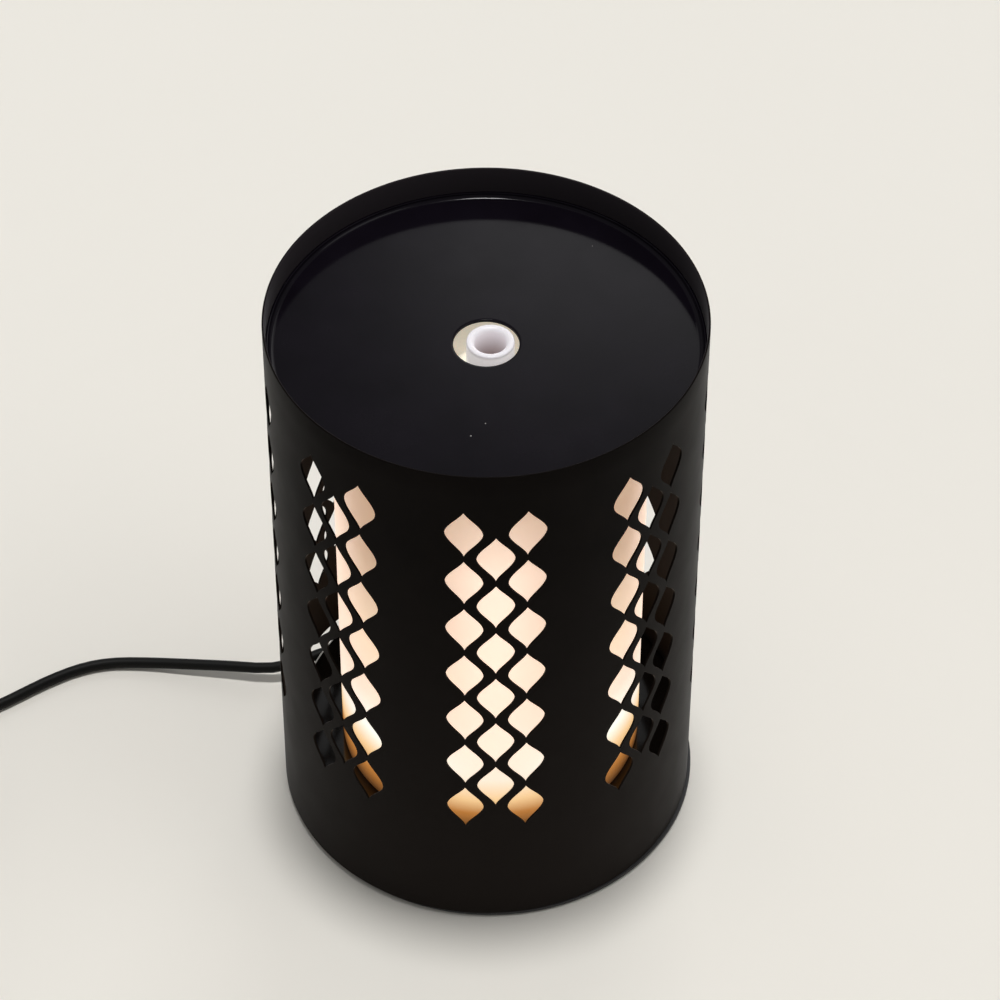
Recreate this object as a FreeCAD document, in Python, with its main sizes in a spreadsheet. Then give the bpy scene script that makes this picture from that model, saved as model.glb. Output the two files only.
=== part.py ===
import FreeCAD, Part

# A fragrance lamp: an ultrasonic mist maker and night light under a perforated metal cover.
# Sizes are in millimetres and degrees. The feet stand on z = 0, the axis of the column is Z,
# the plain front faces -Y and the low-voltage cord leaves at +Y.

import math
import os
import re

import Sketcher
from FreeCAD import Placement, Rotation, Vector

# Driving sizes, each set once. They go into the spreadsheet and every piece is bound to them.
SIZES = {
    # Perforated cover: a sheet tube with a disc let into its top
    "cover_radius": 60.0,
    "cover_height": 182.6,
    "cover_x": -0.76,
    "cover_y": 0.83,
    "cover_wall": 0.6,
    "rest_gap": 0.2,
    "disc_depth": 9.7,
    "disc_wall": 0.8,
    "disc_edge": 1.3,
    "disc_bend": 1.2,
    "sheet_gap": 0.05,
    "disc_hole": 8.92,
    # Windows of pointed drops cut through the cover
    "window_count": 8,
    "window_pitch": 44.6,
    "window_front": -135.0,
    "windows_before_front": 3,
    "column_angle": 8.145,
    "row_pitch": 18.51,
    "row_depth": 21.97,
    "row_floor": 49.0,
    "drop_rise": 8.5,
    "drop_fall": 8.4,
    "drop_half_width": 5.12,
    "drop_waist": 0.35,
    "drop_waist_handle": 3.0,
    "drop_tip_handle": 2.8,
    "drop_top_angle": 27.5,
    "drop_low_angle": 16.0,
    # Notch at the foot of the cover, over the buttons and the cord
    "notch_half_width": 28.2,
    "notch_height": 19.0,
    "notch_corner": 6.0,
    # Translucent dome and the mist nozzle through its top
    "dome_radius": 43.6,
    "dome_wall": 1.8,
    "dome_headroom": 9.1,
    "dome_shoulder": 12.0,
    "nozzle_radius": 6.53,
    "nozzle_bore": 4.37,
    "nozzle_proud": 0.8,
    "nozzle_fit": 0.17,
    "nozzle_wall": 1.5,
    "nozzle_collar": 9.0,
    "collar_height": 1.5,
    "collar_gap": 0.1,
    "flare_radius": 12.0,
    "flare_length": 21.1,
    "nozzle_throat": 5.7,
    "lip_round_outer": 0.5,
    "lip_round_inner": 1.2,
    # Bottom plate, feet and the screws that close the base
    "plate_clearance": 0.8,
    "plate_wall": 2.0,
    "plate_fit": 0.3,
    "flange_wall": 1.0,
    "flange_inset": 0.2,
    "foot_radius": 5.0,
    "foot_inset": 5.9,
    "foot_recess": 1.2,
    "foot_fit": 0.2,
    "screw_shank": 1.3,
    "screw_head": 2.7,
    "screw_head_height": 1.1,
    "screw_length": 12.0,
    "screw_fit": 0.1,
    "hole_end_gap": 1.0,
    "screw_end_gap": 0.2,
    "head_fit": 0.4,
    "post_radius": 3.2,
    "post_inset": 5.2,
    # Glossy base housing
    "cover_gap": 2.0,
    "housing_wall": 2.2,
    "ledge_wall": 2.0,
    "ledge_round": 2.5,
    "neck_wall": 1.9,
    "neck_height": 10.0,
    "neck_gap": 0.4,
    "tank_rest": 6.0,
    "lip_wall": 2.0,
    "lip_reach": 4.9,
    # Tunnel of the plug at the back of the housing
    "tunnel_gap": 0.1,
    "tunnel_floor_wall": 1.1,
    "tunnel_height": 9.5,
    "tunnel_half_width": 9.5,
    "tunnel_wall": 1.5,
    "tunnel_roof_wall": 1.2,
    "sleeve_inset": 1.4,
    "tunnel_start": 26.3,
    "board_gap": 0.3,
    # Water tank with its air duct and the well of the transducer
    "tank_fit": 0.3,
    "tank_wall": 1.8,
    "tank_height": 80.0,
    "tank_skirt": 18.0,
    "tank_floor_wall": 2.0,
    "duct_bore": 7.0,
    "duct_wall": 1.5,
    "duct_clearance": 1.0,
    "duct_start": 2.0,
    "duct_end": 6.0,
    "hub_wall": 2.2,
    "hub_drop": 4.5,
    "well_radius": 8.4,
    "well_mouth": 12.5,
    "well_land": 0.7,
    "tank_boss": 2.4,
    "tank_boss_inset": 2.6,
    "tank_boss_height": 10.0,
    "tank_boss_roof": 1.0,
    # Ultrasonic transducer
    "piezo_radius": 10.0,
    "piezo_wall": 1.0,
    "seal_radius": 12.0,
    "seal_bore": 8.6,
    "seal_height": 2.8,
    "seal_fit": 0.3,
    "seal_gap": 0.1,
    "groove_fit": 0.05,
    "retainer_wall": 1.2,
    "retainer_bore": 9.5,
    "ear_circle": 16.2,
    "ear_radius": 2.6,
    "ear_boss": 2.0,
    "small_shank": 0.9,
    "small_head": 1.9,
    "small_head_height": 1.4,
    "small_screw_length": 4.6,
    # Ring of lamps under the tank
    "led_board_inset": 2.5,
    "led_board_inner": 17.5,
    "led_board_wall": 1.2,
    "led_post_length": 8.8,
    "led_post_radius": 2.0,
    "led_post_inset": 7.5,
    "led_board_gap": 1.5,
    "led_inset": 3.5,
    "led_width": 3.5,
    "led_depth": 2.8,
    "led_height": 0.8,
    "led_count": 10,
    "led_angle_step": 30.0,
    "led_angle_first": -45.0,
    # Fan and the funnel that leads its air to the duct
    "pad_height": 0.8,
    "pad_radius": 3.5,
    "fan_side": 40.0,
    "fan_height": 10.0,
    "fan_bore": 18.6,
    "fan_screw_offset": 16.0,
    "fan_hole_floor": 0.6,
    "fan_disc_radius": 9.0,
    "fan_disc_wall": 1.4,
    "strut_width": 3.0,
    "bearing_shell": 3.2,
    "bearing_radius": 2.2,
    "bearing_fit": 0.05,
    "bearing_height": 6.2,
    "shaft_radius": 1.0,
    "shaft_running_gap": 0.04,
    "shaft_end_gap": 0.2,
    "shaft_cover": 0.4,
    "stator_gap": 0.4,
    "stator_radius": 6.8,
    "stator_height": 4.2,
    "magnet_fit": 0.05,
    "magnet_inset": 0.4,
    "magnet_wall": 1.0,
    "rotor_gap": 0.6,
    "rotor_recess": 0.5,
    "rotor_boss": 2.0,
    "rotor_rest_gap": 0.4,
    "rotor_radius": 9.5,
    "rotor_wall": 1.2,
    "blade_radius": 17.8,
    "blade_wall": 0.9,
    "blade_root_gap": 0.15,
    "blade_chord": 10.0,
    "blade_pitch": 38.0,
    "blade_count": 7,
    "guide_wall": 1.2,
    "guide_fit": 0.3,
    "funnel_height": 5.2,
    "funnel_step": 0.4,
    "sleeve_overlap": 8.0,
    "grille_radius": 17.5,
    "grille_slot": 2.2,
    "grille_pitch": 4.4,
    "grille_slots": 7,
    # Main circuit board
    "board_clearance": 2.2,
    "board_edge": 5.0,
    "board_wall": 1.6,
    "board_notch": 4.0,
    "board_boss_inset": 6.5,
    "board_boss": 3.0,
    "board_boss_height": 0.9,
    "board_screw_bite": 0.9,
    "board_boss_outer_angle": 12.0,
    "board_boss_inner_angle": 60.0,
    # What stands on the board
    "driver_chip_x": 2.0,
    "driver_chip_inset": 22.0,
    "driver_chip_width": 8.0,
    "driver_chip_depth": 5.0,
    "driver_chip_height": 1.6,
    "timer_chip_x": 27.0,
    "timer_chip_y": 9.0,
    "timer_chip_width": 5.0,
    "timer_chip_depth": 4.0,
    "timer_chip_height": 1.5,
    "transistor_x": 26.0,
    "transistor_y": 17.0,
    "transistor_width": 6.5,
    "transistor_depth": 6.0,
    "transistor_height": 2.3,
    "tall_can_x": 12.0,
    "tall_can_y": 17.0,
    "tall_can_radius": 4.0,
    "tall_can_height": 8.0,
    "short_can_x": 21.0,
    "short_can_y": 19.0,
    "short_can_radius": 2.5,
    "short_can_height": 6.0,
    "driver_coil_x": 14.0,
    "driver_coil_y": 17.0,
    "driver_coil_radius": 5.5,
    "driver_coil_core": 4.6,
    "driver_coil_flange": 1.0,
    "driver_coil_slope": 0.6,
    "driver_coil_height": 7.0,
    "connector_spacing": 12.0,
    "connector_inset": 4.5,
    "connector_width": 7.0,
    "connector_depth": 5.0,
    "connector_height": 5.0,
    # Power inlet
    "jack_width": 9.0,
    "jack_length": 14.0,
    "jack_bore": 3.0,
    "jack_depth": 10.0,
    "pin_radius": 1.0,
    "pin_recess": 1.0,
    "plug_gap": 0.5,
    "plug_radius": 4.5,
    "plug_length": 10.7,
    "barrel_radius": 2.75,
    "barrel_bore": 1.25,
    "barrel_length": 9.5,
    "barrel_bore_end": 2.0,
    "barrel_hole": 3.6,
    "relief_length": 7.0,
    "relief_wall": 0.9,
    "relief_fit": 0.05,
    "relief_flare": 1.2,
    # Push buttons and the switches behind them
    "button_angle": 20.0,
    "button_level": 11.0,
    "button_radius": 3.8,
    "button_fit": 0.3,
    "button_proud": 1.5,
    "button_travel": 0.6,
    "button_flange": 4.8,
    "button_flange_wall": 1.0,
    "stem_radius": 1.5,
    "stem_gap": 0.3,
    "plunger_radius": 1.7,
    "plunger_proud": 1.4,
    "plunger_tail": 1.3,
    "plunger_fit": 0.1,
    "plunger_room": 1.0,
    "switch_setback": 6.0,
    "switch_side": 6.0,
    "switch_depth": 3.7,
    # Cord, its coil and the wall adapter
    "cord_radius": 1.65,
    "coil_radius": 24.35,
    "coil_pitch": 3.75,
    "coil_turns_per_layer": 2.5,
    "coil_layers": 4,
    "coil_rise": 2.55,
    "coil_x": -139.3,
    "coil_y": 115.4,
    "coil_entry_angle": 71.4,
    "tie_angle": 250.0,
    "tie_width": 8.0,
    "tie_wall": 0.7,
    "tie_gap": 0.15,
    "tie_inner_gap": 0.8,
    "lead_radius": 0.8,
    "adapter_x": -184.0,
    "adapter_y": 110.0,
    "adapter_width": 34.0,
    "adapter_length": 62.0,
    "adapter_height": 26.0,
    "adapter_wall": 2.0,
    "adapter_corner": 5.0,
    "adapter_edge": 2.5,
    "adapter_cord_level": 10.0,
    "circuit_gap": 0.5,
    "circuit_inset": 6.0,
    "circuit_wall": 1.6,
    "transformer_width": 18.0,
    "transformer_length": 20.0,
    "transformer_height": 15.4,
    "adapter_relief_length": 12.0,
    "prong_width": 6.35,
    "prong_wall": 1.5,
    "prong_length": 17.0,
    "prong_spacing": 12.7,
    "prong_drop": 1.0,
    "prong_root": 2.0,
}

# Places worked out from the driving sizes. Each one may use those above it.
PLACES = {
    # How far a cutter runs past a face, and how far joined solids run into each other
    "cut_margin": "1",
    "join_depth": "0.5",
    # Levels of the base, from the floor up
    "plate_top": "plate_clearance + plate_wall",
    "flange_top": "plate_clearance + flange_wall",
    "foot_top": "plate_clearance + foot_recess",
    "cover_base": "flange_top + rest_gap",
    "tunnel_low": "plate_top + tunnel_gap",
    "tunnel_floor": "tunnel_low + tunnel_floor_wall",
    "tunnel_ceiling": "tunnel_floor + tunnel_height",
    "tunnel_top": "tunnel_ceiling + tunnel_roof_wall",
    "jack_level": "(tunnel_floor + tunnel_ceiling) / 2",
    "board_low": "tunnel_top + board_gap",
    "board_top": "board_low + board_wall",
    "ledge_low": "board_top + board_boss_height",
    "ledge_top": "ledge_low + ledge_wall",
    "board_screw_tip": "ledge_low + board_screw_bite",
    "neck_top": "ledge_top + neck_height",
    "tank_base": "ledge_top + tank_rest",
    "lip_low": "tank_base - lip_wall",
    "tank_floor_low": "tank_base + tank_skirt",
    "tank_floor_top": "tank_floor_low + tank_floor_wall",
    "tank_top": "tank_base + tank_height",
    "tank_screw_tip": "tank_base + tank_boss_height - tank_boss_roof - hole_end_gap",
    "hub_low": "tank_floor_low - hub_drop",
    "seal_top": "hub_low + seal_height + seal_gap",
    "recess_top": "seal_top + seal_gap",
    "piezo_low": "hub_low + seal_gap + (seal_height - piezo_wall) / 2",
    "piezo_top": "piezo_low + piezo_wall",
    "retainer_low": "hub_low - retainer_wall",
    "led_board_top": "tank_floor_low - led_post_length",
    "led_board_low": "led_board_top - led_board_wall",
    # Levels of the cover, the dome and the nozzle
    "disc_face": "cover_height - disc_depth",
    "disc_low": "disc_face - disc_wall",
    "nozzle_tip": "disc_face + nozzle_proud",
    "dome_base": "ledge_top + rest_gap",
    "dome_top": "disc_low - dome_headroom",
    "dome_ceiling": "dome_top - dome_wall",
    "collar_top": "dome_ceiling - collar_gap",
    "collar_low": "collar_top - collar_height",
    "flare_low": "dome_ceiling - flare_length",
    # The plain strip of the cover that is left between its first and last window
    "strip_angle": "360 - window_count * window_pitch",
    "last_window": "window_front + (window_count - windows_before_front - 1) * window_pitch",
    "strip_middle": "last_window + (window_pitch + strip_angle) / 2",
    # Radii, from the cover inwards
    "cover_inner": "cover_radius - cover_wall",
    "disc_radius": "cover_inner - sheet_gap",
    "flange_radius": "cover_radius - flange_inset",
    "housing_radius": "cover_inner - cover_gap",
    "housing_inner": "housing_radius - housing_wall",
    "plate_radius": "housing_inner - plate_fit",
    "foot_circle": "plate_radius - foot_inset",
    "post_circle": "housing_inner - post_inset",
    "board_radius": "housing_inner - board_clearance",
    "board_boss_circle": "board_radius - board_boss_inset",
    "dome_inner": "dome_radius - dome_wall",
    "neck_radius": "dome_inner - neck_gap",
    "neck_inner": "neck_radius - neck_wall",
    "tank_radius": "neck_inner - tank_fit",
    "tank_inner": "tank_radius - tank_wall",
    "lip_inner": "neck_inner - lip_reach",
    "tank_screw_circle": "tank_radius - tank_boss_inset",
    "recess_radius": "seal_radius + seal_fit",
    "hub_radius": "recess_radius + hub_wall",
    "led_board_radius": "lip_inner - led_board_inset",
    "led_circle": "led_board_radius - led_inset",
    "led_post_circle": "led_board_radius - led_post_inset",
    "duct_radius": "duct_bore + duct_wall",
    "sleeve_bore": "duct_radius + guide_fit",
    "sleeve_radius": "sleeve_bore + guide_wall",
    # Fan, on the axis of the air duct in front of the well
    "fan_y": "0 - (hub_radius + duct_radius + duct_clearance)",
    "fan_low": "plate_top + pad_height",
    "fan_top": "fan_low + fan_height",
    "guide_top": "fan_top + guide_wall",
    "funnel_top": "guide_top + funnel_height",
    "duct_low": "tank_base + duct_start",
    "duct_top": "tank_top - duct_end",
    "sleeve_top": "duct_low + sleeve_overlap",
    "fan_disc_top": "fan_low + fan_disc_wall",
    "bearing_top": "fan_disc_top + bearing_height",
    "rotor_low": "fan_disc_top + rotor_gap",
    "rotor_top": "fan_top - rotor_recess",
    "rotor_ceiling": "rotor_top - rotor_wall",
    "rotor_floor": "bearing_top + rotor_rest_gap",
    "shaft_top": "rotor_top - shaft_cover",
    "stator_low": "fan_disc_top + stator_gap",
    "magnet_radius": "rotor_radius - rotor_wall - magnet_fit",
    # Power inlet, from the tunnel's inner end outwards
    "jack_face": "tunnel_start - board_gap",
    "jack_back": "jack_face - jack_length",
    "tunnel_mouth": "tunnel_start + tunnel_wall",
    "plug_face": "tunnel_mouth + plug_gap",
    "plug_back": "plug_face + plug_length",
    "cord_exit": "plug_back + relief_length",
    # Buttons, as distances from the axis
    "button_end": "housing_radius + button_proud",
    "button_flange_front": "housing_inner - button_travel",
    "button_flange_back": "button_flange_front - button_flange_wall",
    "switch_face": "housing_inner - switch_setback",
    "switch_back": "switch_face - switch_depth",
    "plunger_end": "switch_face + plunger_proud",
    "stem_end": "plunger_end + stem_gap",
    # Wall adapter
    "adapter_middle": "adapter_height / 2",
    "adapter_back": "adapter_y - adapter_length",
    "adapter_relief_end": "adapter_y + adapter_relief_length",
    "circuit_top": "adapter_wall + circuit_wall",
    "relief_radius": "cord_radius + relief_wall",
}

# What stands on the circuit board. A chip: x, y, width, depth and height. A capacitor: x, y,
# radius and height.
CHIPS = {
    "driver_chip": ("driver_chip_x", "board_radius - driver_chip_inset", "driver_chip_width",
                    "driver_chip_depth", "driver_chip_height"),
    "timer_chip": ("0 - timer_chip_x", "board_edge + timer_chip_y", "timer_chip_width",
                   "timer_chip_depth", "timer_chip_height"),
    "power_transistor": ("transistor_x", "board_edge + transistor_y", "transistor_width",
                         "transistor_depth", "transistor_height"),
}
CAPACITORS = {
    "tall_capacitor": ("0 - tall_can_x", "board_edge + tall_can_y", "tall_can_radius", "tall_can_height"),
    "short_capacitor": ("0 - short_can_x", "board_edge + short_can_y", "short_can_radius",
                        "short_can_height"),
}
COIL_PLACE = ("driver_coil_x", "board_edge + driver_coil_y")
CONNECTORS = {"fan_connector": "connector_spacing", "transducer_connector": "0",
              "led_connector": "0 - connector_spacing"}
CONNECTOR_SIZE = ("connector_width", "connector_depth", "connector_height")
CONNECTOR_ROW = "board_edge + connector_inset"

# Angles about the column's axis, in degrees, at which pieces are repeated.
POST_ANGLES = (45, 135, 225, 315)
FOOT_ANGLES = (0, 90, 180, 270)
TANK_SCREW_ANGLES = (90, 210, 330)
LED_POST_ANGLES = (0, 90, 180)
FAN_SCREW_SIDES = ((-1, -1), (1, -1), (1, 1), (-1, 1))

# A screw's drive socket: its radius as a share of the shank's, its depth as a share of the head's.
SOCKET_RADIUS_SHARE = 0.7
SOCKET_DEPTH_SHARE = 0.5

# Each arc of a cord takes up this share of the shorter run beside it.
RUN_SHARE = 0.45
# The coil climbs a layer within this many turns, about the place where its spiral reverses.
CLIMB_TURNS = 0.5
# Steps of a turn: between the points that give the coil's heading, and those of its gap test.
HEADING_STEP = 0.004
GAP_STEPS = 36

# The free stretch of cord from the plug's relief to the coil, as far as the first straight of the
# coil. Its first point lies at the relief, and the last two lead squarely into the coil.
CORD_ROUTE = [
    (0.0, 52.5, 8.75),
    (-4.9, 60.9, 7.4),
    (-20.3, 68.1, 4.8),
    (-28.8, 80.7, 4.0),
    (-37.2, 92.3, 3.0),
    (-43.8, 101.7, 2.0),
    (-51.7, 110.8, 1.65),
    (-60.9, 116.3, 1.65),
    (-72.9, 119.9, 1.65),
    (-85.8, 122.5, 1.65),
    (-99.2, 127.6, 1.65),
]
CORD_LEAD_IN = 15.0

# The tail from the coil to the adapter's relief.
TAIL_LEAD_OUT = 8.0
TAIL_ROUTE = [
    (-153.5, 144.8, 11.2),
    (-165.0, 145.0, 8.2),
    (-176.0, 141.0, 7.0),
    (-182.6, 132.6, 8.4),
    (-184.0, 126.4, 10.0),
]

# The leads inside the base, from what they feed to the connectors on the board.
LEAD_ROUTES = {
    "fan_lead": [
        ("12", "fan_y + fan_side / 2", "fan_low + 6"),
        ("12", "fan_y + fan_side / 2 + 4", "fan_low + 6"),
        ("12", "board_edge - 3.2", "board_top + 2.5"),
        ("12", "board_edge + 2", "board_top + 2.5"),
    ],
    "transducer_lead": [
        ("0", "0", "piezo_low"),
        ("0", "0", "led_board_low"),
        ("0", "0 - 1.5", "led_board_low - 10"),
        ("0", "0.5", "board_top + 2.5"),
        ("0", "board_edge + 2", "board_top + 2.5"),
    ],
    "led_lead": [
        ("0 - 18", "18", "led_board_low"),
        ("0 - 18", "18", "led_board_low - 4.5"),
        ("0 - 12", "board_edge + 4.5", "board_top + 10"),
        ("0 - 12", "board_edge + 4.5", "board_top + 5"),
    ],
}

doc = FreeCAD.newDocument("FragranceLamp")


def make_sheet():
    """Write the driving sizes into the spreadsheet, each with its own alias."""
    sheet = doc.addObject("Spreadsheet::Sheet", "Sizes")
    for row, (name, value) in enumerate(SIZES.items(), start=1):
        sheet.set(f"A{row}", name)
        sheet.set(f"B{row}", str(value))
        sheet.setAlias(f"B{row}", name)
    return sheet


def bound(words):
    """Point every name in a sum such as "plate_top + pad_height" at the object that holds it."""

    def owner(match):
        word = match.group(0)
        if word in SIZES:
            return "Sizes." + word
        if word in PLACES:
            return "Places." + word
        return word

    return re.sub(r"[a-z_]+", owner, words)


def make_places():
    """Bind the worked-out places to the sheet, in one set of variables."""
    places = doc.addObject("App::VarSet", "Places")
    for name, words in PLACES.items():
        places.addProperty("App::PropertyFloat", name)
        places.setExpression(name, bound(words))
    return places


sheet = make_sheet()
doc.recompute()
places = make_places()
reader = doc.addObject("App::VarSet", "Reader")
reader.addProperty("App::PropertyFloat", "value")
doc.recompute()


def number(words):
    """Return the value of a sum of names, for shapes that code works out."""
    if words in SIZES:
        return getattr(sheet, words)
    if words in PLACES:
        return getattr(places, words)
    reader.setExpression("value", bound(words))
    reader.recompute()
    return reader.value


def count(name):
    """Return a driving size that counts copies, as a whole number."""
    return int(round(number(name)))


def move(item, x, y, z):
    """Bind an object's place to sums of names."""
    for axis, words in zip("xyz", (x, y, z)):
        item.setExpression("Placement.Base." + axis, bound(words))
    return item


def cylinder(name, radius, low, high, x="0", y="0"):
    """An upright cylinder between two levels."""
    item = doc.addObject("Part::Cylinder", name)
    item.setExpression("Radius", bound(radius))
    item.setExpression("Height", bound(f"({high}) - ({low})"))
    return move(item, x, y, low)


def rod(name, radius, start, end, x="0", z="0", end_radius=None):
    """A cylinder, or a cone, lying along Y between two distances."""
    item = doc.addObject("Part::Cone" if end_radius else "Part::Cylinder", name)
    if end_radius:
        item.setExpression("Radius1", bound(radius))
        item.setExpression("Radius2", bound(end_radius))
    else:
        item.setExpression("Radius", bound(radius))
    item.setExpression("Height", bound(f"({end}) - ({start})"))
    item.Placement = Placement(Vector(), Rotation(Vector(1, 0, 0), -90))
    return move(item, x, start, z)


def block(name, x, y, z):
    """A box between two distances along each axis."""
    item = doc.addObject("Part::Box", name)
    for side, (low, high) in zip(("Length", "Width", "Height"), (x, y, z)):
        item.setExpression(side, bound(f"({high}) - ({low})"))
    return move(item, x[0], y[0], z[0])


def across(middle, width):
    """The two ends of a width about its middle."""
    return (f"({middle}) - ({width}) / 2", f"({middle}) + ({width}) / 2")


def fuse(name, *items):
    """One solid from several that touch or overlap."""
    item = doc.addObject("Part::MultiFuse", name)
    item.Shapes = list(items)
    item.Refine = True
    return item


def group(name, *items):
    """Several solids kept apart in one object."""
    item = doc.addObject("Part::Compound", name)
    item.Links = list(items)
    return item


def cut(name, base, *tools):
    """A solid with others taken away from it."""
    item = doc.addObject("Part::Cut", name)
    item.Base = base
    item.Tool = tools[0] if len(tools) == 1 else fuse(name + "_tools", *tools)
    item.Refine = False
    return item


def overlap(name, first, second):
    """What two solids share."""
    item = doc.addObject("Part::Common", name)
    item.Base = first
    item.Tool = second
    return item


def swung(name, item, angle):
    """A copy of an object turned about the axis of the column."""
    copy = group(name, item)
    copy.Placement = Placement(Vector(), Rotation(Vector(0, 0, 1), 1))
    copy.setExpression("Placement.Rotation.Angle", bound(str(angle)))
    return copy


def around(name, item, angles):
    """Copies of an object at several angles about the axis of the column."""
    copies = [swung(f"{name}_{place}", item, angle) for place, angle in enumerate(angles)]
    return group(name, *copies)


def shifted(name, item, x="0", y="0", z="0"):
    """A copy of an object moved to another place."""
    return move(group(name, item), x, y, z)


def outline(body, points, plane="XZ_Plane"):
    """A closed outline in a plane through the origin, its corners bound to sums of names."""
    sketch = body.newObject("Sketcher::SketchObject", body.Name + "_outline")
    origin = next(item for item in body.Origin.OriginFeatures if item.Role == plane)
    sketch.AttachmentSupport = (origin, [""])
    sketch.MapMode = "FlatFace"
    corners = [Vector(number(x), number(y), 0) for x, y in points]
    sides = range(len(corners))
    for side in sides:
        sketch.addGeometry(Part.LineSegment(corners[side], corners[(side + 1) % len(corners)]))
    for side in sides:
        following = (side + 1) % len(corners)
        sketch.addConstraint(Sketcher.Constraint("Coincident", side, 2, following, 1))
    for side, pair in enumerate(points):
        for kind, words, axis in (("DistanceX", pair[0], -2), ("DistanceY", pair[1], -1)):
            if words == "0":
                sketch.addConstraint(Sketcher.Constraint("PointOnObject", side, 1, axis))
                continue
            rule = Sketcher.Constraint(kind, -1, 1, side, 1, number(words))
            place = sketch.addConstraint(rule)
            sketch.setExpression(f"Constraints[{place}]", bound(words))
    return sketch


def turned(name, points, x=None, y=None, sector=None):
    """A body turned about an upright axis from its outline of (radius, level) corners."""
    body = doc.addObject("PartDesign::Body", name)
    sketch = outline(body, points)
    turn = body.newObject("PartDesign::Revolution", name + "_turn")
    turn.Profile = (sketch, [""])
    turn.ReferenceAxis = (sketch, ["V_Axis"])
    turn.Angle = 360
    if sector:
        turn.Midplane = True
        turn.setExpression("Angle", bound(sector))
    if x:
        move(body, x, y, "0")
    doc.recompute()
    return body


def padded(name, points, low, high):
    """A body raised from a flat outline of (x, y) corners, between two levels."""
    body = doc.addObject("PartDesign::Body", name)
    sketch = outline(body, points, "XY_Plane")
    sketch.setExpression("AttachmentOffset.Base.z", bound(low))
    pad = body.newObject("PartDesign::Pad", name + "_pad")
    pad.Profile = (sketch, [""])
    pad.setExpression("Length", bound(f"({high}) - ({low})"))
    doc.recompute()
    return body


def rounded(body, name, radius, wanted):
    """Round the edges of a body that a test picks out."""
    tip = body.Tip
    chosen = [f"Edge{place}" for place, edge in enumerate(tip.Shape.Edges, 1) if wanted(edge)]
    fillet = body.newObject("PartDesign::Fillet", name)
    fillet.Base = (tip, chosen)
    fillet.setExpression("Radius", bound(radius))
    body.Tip = fillet
    doc.recompute()
    return body


def ring_at(radius, level):
    """A test for the round edge with this radius at this level."""
    wanted_radius = number(radius)
    wanted_level = number(level)

    def test(edge):
        box = edge.BoundBox
        flat = abs(box.ZMin - wanted_level) < 1e-4 and abs(box.ZMax - wanted_level) < 1e-4
        return flat and abs(edge.Length - 2 * math.pi * wanted_radius) < 1e-3

    return test


def upright(edge):
    """A test for a straight edge along Z."""
    box = edge.BoundBox
    return box.XLength < 1e-4 and box.YLength < 1e-4


def flat_at(level):
    """A test for every edge that lies in one level."""
    wanted_level = number(level)

    def test(edge):
        box = edge.BoundBox
        return abs(box.ZMin - wanted_level) < 1e-4 and abs(box.ZMax - wanted_level) < 1e-4

    return test


def feature(name, shape):
    """A shape that code worked out, as an object of the document."""
    item = doc.addObject("Part::Feature", name)
    item.Shape = shape
    return item


# Perforated cover

def bezier(*points):
    """A smooth curve steered by its points."""
    curve = Part.BezierCurve()
    curve.setPoles([Vector(*point) for point in points])
    return curve.toBSpline()


def drop_side(side, depth):
    """One flank of a pointed drop, from its top tip to its foot, as a single smooth curve."""
    rise = number("drop_rise")
    fall = number("drop_fall")
    widest = side * number("drop_half_width")
    waist = number("drop_waist")
    handle = number("drop_waist_handle")
    tip = number("drop_tip_handle")
    top_angle = math.radians(number("drop_top_angle"))
    low_angle = math.radians(number("drop_low_angle"))
    upper = bezier(
        (0, depth, rise),
        (side * tip * math.sin(top_angle), depth, rise - tip * math.cos(top_angle)),
        (widest, depth, waist + handle),
        (widest, depth, waist),
    )
    lower = bezier(
        (widest, depth, waist),
        (widest, depth, waist - handle),
        (side * tip * math.sin(low_angle), depth, tip * math.cos(low_angle) - fall),
        (0, depth, -fall),
    )
    upper.join(lower)
    return upper.toShape()


def make_drops():
    """The cutters of the window that faces +X: three columns, the middle one half a row lower."""
    margin = number("cut_margin")
    depth = -number("cover_radius") - margin
    wire = Part.Wire([drop_side(1, depth), drop_side(-1, depth)])
    drop = Part.Face(wire).extrude(Vector(0, number("cover_wall") + 2 * margin, 0))
    pitch = number("row_pitch")
    cutters = []
    for column in (-1, 0, 1):
        level = number("cover_height") - number("row_depth") - (0 if column else pitch / 2)
        while level > number("row_floor"):
            cutter = drop.copy()
            cutter.translate(Vector(0, 0, level))
            cutter.rotate(Vector(), Vector(0, 0, 1), 90 + column * number("column_angle"))
            cutters.append(cutter)
            level -= pitch
    return feature("window_cutters", Part.makeCompound(cutters))


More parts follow.
